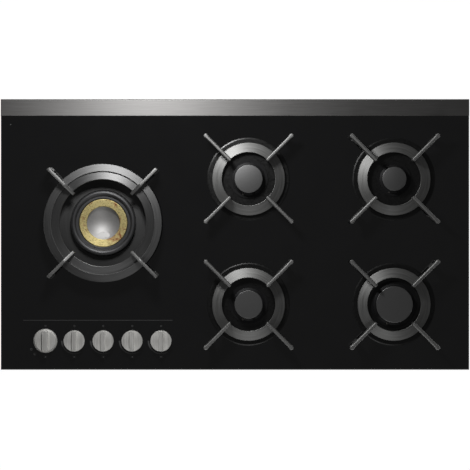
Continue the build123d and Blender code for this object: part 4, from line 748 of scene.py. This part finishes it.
@dataclass
class WokSupport:
    """Wok pan support: a ring stepped down to its inner band, and four blades with a knee over the ring."""

    band_inner: float = 83.0
    step: float = 98.4
    outer: float = 113.0
    bottom: float = 40.0
    band_top: float = 46.4
    band_fall: float = 2.4
    ring_top: float = 48.0
    ring_fall: float = 3.6
    arm_start: float = 77.0
    arm_knee: float = 101.0
    arm_end: float = 146.5
    arm_half: float = 3.1
    arm_low: float = 53.0
    arm_high: float = 66.0
    tip_top: float = 65.0
    arm_under: float = 35.0
    foot: float = 13.0
    leg_length: float = 12.0
    leg_width: float = 11.0
    leg_top_length: float = 8.0
    leg_drop: float = 12.0
    bend: float = 2.5
    toe: float = 4.5
    edge: float = 0.9

    def ring(self) -> Surface:
        """The outer ring as a lathe of its section: step wall, top that falls outwards, wall, underside."""
        corners = ((self.step, self.bottom), (self.step, self.ring_top),
                   (self.outer, self.ring_top - self.ring_fall), (self.outer, self.bottom))
        return lathe(rounded(corners, (0.4, 1.1, 1.1, 0.6)), (0.0, 0.0), 216)

    def band(self) -> Surface:
        """The inner band as a lathe of its section, its outer wall hidden in the ring."""
        hidden = self.step + 0.8
        corners = ((self.band_inner, self.bottom), (self.band_inner, self.band_top),
                   (hidden, self.band_top - self.band_fall), (hidden, self.bottom))
        return lathe(rounded(corners, (0.6, 1.2, 0.2, 0.2)), (0.0, 0.0), 216)

    def blade(self) -> Surface:
        """One blade along +X: sections across it at each radius, with softened top edges.

        The crest climbs from the inner end to the knee over the ring and runs on almost level to the tip.

        Returns:
            The blade's closed skin, flat at both ends.
        """
        start, end, knee, bend = self.arm_start, self.arm_end, self.arm_knee, self.bend
        low, high, sunk, leg = self.arm_low, self.arm_high, self.bottom + 2.0, self.arm_end - self.leg_length
        radii = np.array((start, start + 0.01, start + 0.5, start + 1.2, 0.5 * (start + knee - 2.0),
                          knee - bend, knee - 1.0, knee + 1.0, knee + bend, self.outer, self.outer + 5.0,
                          leg - 0.1, leg, end - self.toe, end - 2.0, end - 0.6, end - 0.01, end))
        below = np.interp(radii, (start, self.outer, leg - 0.05, leg, end),
                          (sunk, sunk, self.arm_under, high - self.leg_drop, high - self.leg_drop))
        crest = np.interp(radii, (start, start + 1.2, knee - bend, knee, knee + bend, end - self.toe,
                                  end - 0.6, end),
                          (low - 0.8, low + 0.7, high - 1.35, high - 0.35, high - 0.06, self.tip_top,
                           self.tip_top - 1.2, self.tip_top - 2.2))
        thick = (radii > start) & (radii < end)
        half = self.arm_half * thick
        side = np.stack((half, half, half, half - 0.25 * thick, half - 0.8 * thick, 0 * half), 1)
        lift = np.stack((below, below + 0.5, crest - self.edge, crest - 0.5 * self.edge, crest, crest), 1)
        return bar_skin(radii, side, lift)

    def foot_post(self) -> Surface:
        """The leg under a blade's end: a rounded rectangle that narrows upwards, closed above and below.

        point(u, v) = outline(v) scaled from leg size to blade size as u rises, then drawn to the middle at
        both ends.

        Returns:
            The post's closed skin.
        """
        outline = rounded(((-1, -1), (1, -1), (1, 1), (-1, 1)), 0.35, steps=4)
        foot, top = self.foot, self.arm_high - 9.0
        heights = np.array((foot, foot, foot + 0.8, 0.5 * (foot + top), top, top))
        share = np.array((0.0, 0.93, 1.0, 1.0, 1.0, 0.0))
        rise = np.clip((heights - foot) / (top - foot), 0, 1)
        long = (self.leg_length + (self.leg_top_length - self.leg_length) * rise) / 2 * share
        wide = (self.leg_width + (2 * self.arm_half - self.leg_width) * rise) / 2 * share
        middle = self.arm_end - self.leg_length / 2 + 2.0 * rise
        x = middle[:, None] + long[:, None] * outline[None, :, 0]
        y = wide[:, None] * outline[None, :, 1]
        z = np.broadcast_to(heights[:, None], x.shape)
        flat = np.stack(np.broadcast_arrays(lengths(outline)[None, :], heights[::-1][:, None]), -1)
        return Surface(np.stack((x, y, z), -1)[::-1], flat)

    def build(self) -> None:
        """Makes the ring, its inner band and the arms."""
        node, body, slot = "pan_support_wok", "support_wok", "support_enamel"
        x, y = middle_of(node)
        blade, post = self.blade(), self.foot_post()
        arms = [part.turned(45 + 90 * n).moved(x, y) for n in range(4) for part in (blade, post)]
        make_piece(f"{node}_ring", [self.ring().moved(x, y)], body, WOK_RING_ENAMEL, [node])
        make_piece(f"{node}_band", [self.band().moved(x, y)], body, BAND_ENAMEL)
        make_piece(f"{node}_arms", arms, body, ARM_ENAMEL)


@dataclass
class Supports(Assembly):
    """All five pan supports."""

    places: tuple[str, ...] = ("rear_middle", "rear_right", "front_middle", "front_right")

    def build(self) -> None:
        """Makes the four small supports and the wok one."""
        for place in self.places:
            SmallSupport(place).build()
        WokSupport().build()


@dataclass
class Caps(Assembly):
    """The four burner caps; the rear ones are crowned more."""

    crowns: dict[str, float] = field(default_factory=lambda: {
        "rear_middle": 1.1, "rear_right": 1.1, "front_middle": 0.3, "front_right": 0.3})

    def build(self) -> None:
        """Makes each cap."""
        for place, crown in self.crowns.items():
            Cap(place, crown).build()


@dataclass
class WokBurner(Assembly):
    """Visible top of the wok burner: slotted outer ring, brass ring, and polished bowl with its pilot."""

    base: float = 14.3
    crown_r: float = 62.0
    wall_in: float = 0.1
    hole_r: float = 46.6
    lip_top: float = 28.3
    lip_crown: float = 2.2
    groove_r: float = 52.5
    groove_top: float = 23.5
    slots: int = 48
    slot_height: float = 4.0
    slot_depth: float = 2.6
    slot_width: float = 2.0
    brass_outer: float = 46.0
    brass_inner: float = 31.5
    brass_base: float = 17.3
    brass_top: float = 22.2
    brass_fall: float = 1.8
    bowl_r: float = 32.0
    bowl_rim: float = 13.5
    bowl_floor: float = 3.0
    bowl_floor_r: float = 27.0
    tube_r: float = 8.0
    tube_end: float = -20.0
    pilot_r: float = 13.8
    pilot_edge: float = 1.3
    pilot_offset: float = 30.0
    pilot_top: float = 15.5
    pilot_slant: float = 0.24
    flame_hole_r: float = 1.9
    flame_hole_depth: float = 7.0
    hole_spacing: float = 9.4
    hole_shift: float = 1.0

    def crown(self, centre: Point) -> Surface:
        """Outer flame ring: its section carried round, its upright wall drawn in at 48 slots.

        drawn in = slot depth x (soft step of cos(48 v) above the slot's share), on the wall's points only.

        Args:
            centre: the burner's centre.

        Returns:
            The closed ring.
        """
        brow = self.base + self.slot_height
        t = np.linspace(-1.0, 1.0, 13)
        middle, reach = (self.groove_r + self.crown_r) / 2, (self.crown_r - self.groove_r) / 2
        lip = np.stack((middle + reach * t, self.lip_top - self.lip_crown * t * t), 1)
        wall_r = self.crown_r - self.wall_in
        corners = ((self.hole_r, self.base), (self.hole_r, self.groove_top), (self.groove_r, self.groove_top),
                   *lip, (self.crown_r, brow), (wall_r, brow - 0.3), (wall_r, self.base + 0.9),
                   (self.crown_r, self.base + 0.6), (self.crown_r, self.base))
        soft = (0.3, 1.2, 0.8, 0.4, *(0.1,) * (len(lip) - 2), 0.6, 0.2, 0.1, 0.1, 0.1, 0.2)
        profile = rounded(corners, soft)
        around = self.slots * 12
        turn = np.linspace(0.0, 2 * pi, around + 1)
        share = np.cos(pi * self.slot_width * self.slots / (2 * pi * self.crown_r))
        open_slot = np.clip((np.cos(self.slots * turn) - share) / 0.25 + 0.5, 0.0, 1.0)
        in_wall = np.abs(profile[:, 0] - wall_r) < self.wall_in / 2
        return lathe(profile, centre, around, self.slot_depth * in_wall[:, None] * open_slot[None, :])

    def brass(self, centre: Point) -> Surface:
        """Brass ring with worn soft edges, its top falling gently inwards."""
        corners = ((self.brass_inner, self.brass_base), (self.brass_inner, self.brass_top - self.brass_fall),
                   (self.brass_outer, self.brass_top), (self.brass_outer, self.brass_base))
        return lathe(rounded(corners, (0.4, 1.6, 1.6, 0.4)), centre, 180)

    def bowl(self, centre: Point) -> list[Surface]:
        """Bowl with its wall below, and the pilot's round boss in its front.

        Its floor turns up over a radius a into an even slope: z = s (r^2 / 2a) to r = a, then s (r - a / 2).

        Args:
            centre: the burner's centre.

        Returns:
            The bowl, the boss's wall, and the boss's top with its holes.
        """
        a, edge = self.bowl_floor_r, self.bowl_r - 0.6
        slope = (self.bowl_rim - self.bowl_floor) / (self.bowl_r - a / 2)
        r = np.linspace(0.0, edge, 25)
        dip = self.bowl_floor + slope * np.where(r < a, r**2 / (2 * a), r - a / 2)
        inside = np.stack((r, dip), 1)
        tube_r, tube_end = self.tube_r, self.tube_end
        rim = rounded(((edge, dip[-1]), (self.bowl_r, self.bowl_rim), (self.bowl_r, self.bowl_rim - 3.0),
                       (tube_r, self.bowl_floor - 1.5), (tube_r, tube_end), (0.0, tube_end)), 0.5,
                      closed=False)
        bowl = lathe(np.vstack((inside, rim[1:])), centre)
        foot, reach = self.bowl_floor + 4.0, self.pilot_r - self.pilot_edge
        boss = rounded(((reach, self.pilot_top), (self.pilot_r, self.pilot_top), (self.pilot_r, foot),
                        (0.0, foot)), (0.0, 1.2, 0.2, 0.0), closed=False)
        place = (centre[0], centre[1] - self.pilot_offset)
        parts = (lathe(boss, (0.0, 0.0), 72), *self.pilot_top_with_holes())
        return [bowl, *(self.slanted(part, foot).moved(*place) for part in parts)]

    def slanted(self, part: Surface, foot: float) -> Surface:
        """The pilot's skin sheared so that its top falls backwards.

        z becomes z - slant (y + R) (z - foot) / (top - foot).

        Args:
            part: one of the pilot's surfaces.
            foot: the height where nothing falls.

        Returns:
            The sheared surface.
        """
        y, z = part.points[..., 1], part.points[..., 2]
        fall = self.pilot_slant * (y + self.pilot_r) * np.clip((z - foot) / (self.pilot_top - foot), 0.0, 1.0)
        return replace(part, points=part.points - fall[..., None] * np.array((0.0, 0.0, 1.0)))

    def pilot_top_with_holes(self) -> list[Surface]:
        """The boss's flat top about its centre, with its two flame holes.

        Each half of the top is ruled from a hole's rim to the half's outline: the outline lies where a ray
        from the hole meets the circle |p| = R or the middle line x = 0, whichever is nearer.

        Returns:
            Two halves of the top, each with the wall and the floor of its hole.
        """
        reach, floor = self.pilot_r - self.pilot_edge, self.pilot_top - self.flame_hole_depth
        turn = np.linspace(0.0, 2 * pi, 73)
        ray = np.stack((np.cos(turn), np.sin(turn)), -1)
        parts = []
        for side in (-1, 1):
            hole = np.array((side * self.hole_spacing / 2, self.hole_shift))
            toward = ray @ hole
            to_circle = -toward + np.sqrt(toward**2 - hole @ hole + reach**2)
            across = side * ray[:, 0]
            to_middle = np.where(across < -1e-6, abs(hole[0]) / np.maximum(-across, 1e-6), np.inf)
            outline = hole + ray * np.minimum(to_circle, to_middle)[:, None]
            rim = hole + ray * self.flame_hole_r
            level = np.full((len(turn), 1), self.pilot_top)
            top = np.stack((np.hstack((rim, level)), np.hstack((outline, level))))
            wall = rounded(((0.0, floor), (self.flame_hole_r, floor), (self.flame_hole_r, self.pilot_top)),
                           0.0, closed=False)
            parts += [Surface(top, top[..., :2]), lathe(wall, (float(hole[0]), float(hole[1])), 72)]
        return parts

    def build(self) -> None:
        """Makes the three pieces."""
        centre = middle_of("wok_crown")
        make_piece("wok_flame_ring", [self.crown(centre)], "wok_crown_body", WOK_METAL,
                   ["wok_crown"])
        make_piece("brass_flame_ring", [self.brass(centre)], "wok_ring_body", RING_BRASS,
                   ["wok_brass_ring"])
        make_piece("bowl_and_pilot", self.bowl(centre), "cooktop", BOWL_STEEL, ["wok_bowl"])


@dataclass
class Knob:
    """Control knob: a disc with rounded edges and a grip bar across it from front to back."""

    number: int
    radius: float = 20.1
    bottom: float = 14.1
    face: float = 24.0
    top: float = 32.0
    grip: float = 8.0
    recess_r: float = 14.0
    recess: float = 5.0
    collar_r: float = 23.4
    collar_lean: float = 1.4
    collar: float = 4.0
    edge: float = 0.9
    bar_in: float = 0.5
    bar_edge: float = 1.2

    def disc(self, centre: Point) -> Surface:
        """The disc, hollow below, as a lathe of its section; the first knob's has a collar at its foot.

        Args:
            centre: the knob's centre.

        Returns:
            The disc's skin.
        """
        brow = self.bottom + self.collar
        foot = ((self.radius, brow), (self.collar_r - self.collar_lean, brow), (self.collar_r, self.bottom))
        outer = foot if self.number == 1 else ((self.radius, self.bottom),)
        corners = ((0.0, self.face), (self.radius, self.face), *outer, (self.recess_r, self.bottom),
                   (self.recess_r, self.bottom + self.recess), (0.0, self.bottom + self.recess))
        return lathe(rounded(corners, self.edge, closed=False), centre, 96)

    def bar(self, centre: Point) -> Surface:
        """The grip bar: its plan outline, a strip cut by the disc's circle, drawn in as it rounds over.

        outline(inset, v): x = +-(w - inset), y from the circle of radius R - inset; height falls over the
        edge.

        Args:
            centre: the knob's centre.

        Returns:
            The bar's skin, open below inside the disc.
        """
        edge, top, a = self.bar_edge, self.top, np.linspace(0.0, pi / 2, 7)
        inset = np.concatenate(((self.grip / 2, self.grip / 4), edge * (1 - np.sin(a)), (0.0,)))
        height = np.concatenate(((top, top), top - edge * (1 - np.cos(a)), (self.face - self.bar_in,)))
        half, reach = self.grip / 2 - inset, self.radius - self.bar_in - inset
        side = np.linspace(-1.0, 1.0, 24)
        swing = np.arcsin(half / reach)[:, None] * np.linspace(-1.0, 1.0, 9)
        front = np.stack((reach[:, None] * np.sin(swing), -reach[:, None] * np.cos(swing)), -1)
        y_end = np.sqrt(reach**2 - half**2)
        right = np.stack(np.broadcast_arrays(half[:, None], y_end[:, None] * side), -1)
        outline = np.concatenate((right, -front, -right, front), 1)
        level = np.broadcast_to(height[:, None, None], outline.shape[:2] + (1,))
        flat = np.stack(np.broadcast_arrays(lengths(outline[-1])[None, :], height[:, None]), -1)
        return Surface(np.concatenate((outline, level), -1), flat).moved(*centre)

    def build(self) -> None:
        """Makes the knob's disc and bar as one piece."""
        node = f"knob_{self.number}"
        centre = middle_of(node)
        skins = [self.disc(centre), self.bar(centre)]
        make_piece(f"turned_{node}", skins, f"{node}_stem", KNOB_STEEL, [node])


@dataclass
class Knobs(Assembly):
    """The row of five knobs, of which the first is the wok burner's."""

    count: int = 5
    wok_grip: float = 11.0

    def build(self) -> None:
        """Makes each knob."""
        Knob(1, grip=self.wok_grip).build()
        for number in range(2, self.count + 1):
            Knob(number).build()


@dataclass
class Print(Assembly):
    """Marks fired on the glass: the line over the knobs, off marks, flame scales and burner icons."""

    level: float = 10.0
    thick: float = 0.03
    line_y: float = -164.8
    line_from: float = -407.0
    line_to: float = -120.0
    line_width: float = 0.9
    corner_dot: tuple[float, float, float] = (-431.0, 211.0, 1.2)
    off_y: float = -175.8
    off_ring: Point = (1.9, 1.0)
    scale_from: float = 180.0
    scale_to: float = 300.0
    scale_ring: Point = (22.6, 25.9)
    icon_y: float = -235.3
    icon_reach: Point = (2.4, 1.6)
    icon_dot: float = 0.8
    icon_middle: float = 1.0
    first_rings: tuple[tuple[float, float, float], ...] = ((-27.3, -16.3, 2.4), (-20.4, -25.4, 2.6))
    first_hole: float = 1.2

    def patch(self, corners: Grid) -> list[Surface]:
        """A flat patch between two plan lines of equal point count."""
        top = np.concatenate((corners, np.full(corners.shape[:2] + (1,), self.level + self.thick)), -1)
        return [Surface(top, corners)]

    def disc(self, x: float, y: float, radius: float, hole: float = 0.0) -> list[Surface]:
        """A round mark or a ring: points (x + r cos v, y + r sin v)."""
        turn = np.linspace(0.0, 2 * pi, 25)
        r = np.array((hole, radius))[:, None]
        return self.patch(np.stack((x + r * np.cos(turn), y + r * np.sin(turn)), -1))

    def crescent(self, x: float, y: float) -> list[Surface]:
        """A flame scale that narrows from full width to a hair: r from inner(v) to outer(v).

        Args:
            x: X of the knob's centre.
            y: Y of the knob's centre.

        Returns:
            The scale's patch.
        """
        inner, outer = self.scale_ring
        t = np.linspace(0.0, 1.0, 49)
        turn = np.radians(self.scale_from + (self.scale_to - self.scale_from) * t)
        thin = 0.5 * (inner + outer) + 1.0
        r = np.stack((inner + (thin - 0.15 - inner) * t, outer + (thin + 0.15 - outer) * t))
        return self.patch(np.stack((x + r * np.cos(turn), y + r * np.sin(turn)), -1))

    def build(self) -> None:
        """Makes the pale and the dim marks."""
        x = np.linspace(self.line_from, self.line_to, 30)
        y = self.line_y + np.array((-0.5, 0.5))[:, None] * self.line_width
        dim = self.patch(np.stack(np.broadcast_arrays(x[None, :], y), -1)) + self.disc(*self.corner_dot)
        pale: list[Surface] = []
        wide, deep = self.icon_reach
        for number in range(1, 6):
            kx, ky = middle_of(f"knob_{number}")
            dim += self.disc(kx, self.off_y, *self.off_ring)
            if number > 1:
                dim += self.crescent(kx, ky)
            for dx in (-wide, wide):
                for dy in (-deep, deep):
                    dim += self.disc(kx + dx, self.icon_y + dy, self.icon_dot)
            pale += self.disc(kx, self.icon_y, self.icon_middle)
        kx, ky = middle_of("knob_1")
        for dx, dy, radius in self.first_rings:
            dim += self.disc(kx + dx, ky + dy, radius, self.first_hole)
        make_piece("print_dim", dim, "cooktop", PRINT_DIM)
        make_piece("print_pale", pale, "cooktop", PRINT_PALE)


# ------------------------------------------------------------------ studio

@dataclass(frozen=True)
class Lamp:
    """A round soft lamp: where it hangs and what it points at, in metres, its size and its power in watts."""

    name: str
    place: tuple[float, float, float]
    target: tuple[float, float, float]
    size: float
    power: float

    def hang(self) -> None:
        """Hangs the lamp in the scene."""
        data = bpy.data.lights.new(self.name, "AREA")
        data.shape = "DISK"
        data.size = self.size
        data.energy = self.power
        lamp = bpy.data.objects.new(self.name, data)
        lamp.location = self.place
        lamp.rotation_euler = (Vector(self.target) - Vector(self.place)).to_track_quat("-Z", "Y").to_euler()
        bpy.context.scene.collection.objects.link(lamp)


@dataclass
class Studio:
    """Pale floor, dim room, a key lamp behind, a weak one in front, and the camera high above the middle."""

    camera_height: float = 5.0
    half_width: float = 0.4515
    aim_y: float = -0.001
    glass: float = 0.010
    key: Lamp = Lamp("key", (-0.18, 0.44, 0.60), (-0.05, 0.0, 0.02), 0.18, 3.7)
    fill: Lamp = Lamp("fill", (0.05, -0.90, 0.80), (0.0, -0.10, 0.02), 0.50, 1.4)
    room: float = 0.08
    floor_z: float = -0.048
    floor_reach: float = 30.0
    floor_white: float = 0.93
    floor_glow: float = 1.07

    def floor(self) -> None:
        """Lays a large pale floor whose colour reads as white where it is seen, and that keeps shadows."""
        mesh = bpy.data.meshes.new("floor")
        r, z = self.floor_reach, self.floor_z
        mesh.from_pydata([(-r, -r, z), (r, -r, z), (r, r, z), (-r, r, z)], [], [(0, 1, 2, 3)])
        floor = bpy.data.objects.new("floor", mesh)
        bpy.context.scene.collection.objects.link(floor)
        made = bpy.data.materials.new("painted_floor")
        made.use_nodes = True
        tree = made.node_tree
        tree.nodes.clear()
        share = add(tree, "ShaderNodeMath", {0: self.seen(tree), 1: self.floor_white},
                    operation="MULTIPLY").outputs[0]
        paint = add(tree, "ShaderNodeBsdfDiffuse", {"Color": linear("#e8e8e8")}).outputs[0]
        glow = add(tree, "ShaderNodeEmission",
                   {"Color": linear("#ffffff"), "Strength": self.floor_glow}).outputs[0]
        mixed = add(tree, "ShaderNodeMixShader", {0: share, 1: paint, 2: glow}).outputs[0]
        add(tree, "ShaderNodeOutputMaterial", {"Surface": mixed})
        mesh.materials.append(made)

    @staticmethod
    def seen(tree: Tree) -> Socket:
        """1 where a camera, glossy or transmitted ray looks, else 0.

        Args:
            tree: the floor material's nodes.

        Returns:
            The output that holds it.
        """
        path = add(tree, "ShaderNodeLightPath")
        two = add(tree, "ShaderNodeMath",
                  {0: path.outputs["Is Camera Ray"], 1: path.outputs["Is Glossy Ray"]}, operation="MAXIMUM")
        return add(tree, "ShaderNodeMath", {0: two.outputs[0], 1: path.outputs["Is Transmission Ray"]},
                   operation="MAXIMUM").outputs[0]

    def room_light(self) -> None:
        """Makes an even dim room, white where the camera sees past the floor."""
        world = bpy.data.worlds.new("room")
        bpy.context.scene.world = world
        world.use_nodes = True
        tree = world.node_tree
        tree.nodes.clear()
        dim, white = (add(tree, "ShaderNodeBackground", {"Color": linear("#ffffff"), "Strength": strength})
                      .outputs[0] for strength in (self.room, 1.0))
        camera = add(tree, "ShaderNodeLightPath").outputs["Is Camera Ray"]
        mixed = add(tree, "ShaderNodeMixShader", {0: camera, 1: dim, 2: white}).outputs[0]
        add(tree, "ShaderNodeOutputWorld", {"Surface": mixed})

    def camera(self) -> None:
        """Sets the camera straight above the middle, with the glass 468.5 of the image's 470 points wide."""
        data = bpy.data.cameras.new("above")
        data.sensor_width = 36.0
        data.lens = data.sensor_width * self.camera_height / (2 * self.half_width)
        data.clip_end = 100.0
        camera = bpy.data.objects.new("above", data)
        camera.location = (0.0, self.aim_y, self.glass + self.camera_height)
        bpy.context.scene.collection.objects.link(camera)
        bpy.context.scene.camera = camera

    def build(self) -> None:
        """Sets up floor, room, lamps, camera and the plain view transform."""
        self.floor()
        self.room_light()
        self.key.hang()
        self.fill.hang()
        self.camera()
        bpy.context.scene.view_settings.view_transform = "Standard"


def main() -> None:
    """Builds the studio and every sub-assembly."""
    logging.basicConfig(level=logging.INFO, format="%(name)s: %(message)s")
    Studio().build()
    for part in (CarriedSolids(), RearStrip(), Dishes(), Supports(), Caps(), WokBurner(), Knobs(), Print()):
        part.build()


if __name__ == "__main__":
    main()
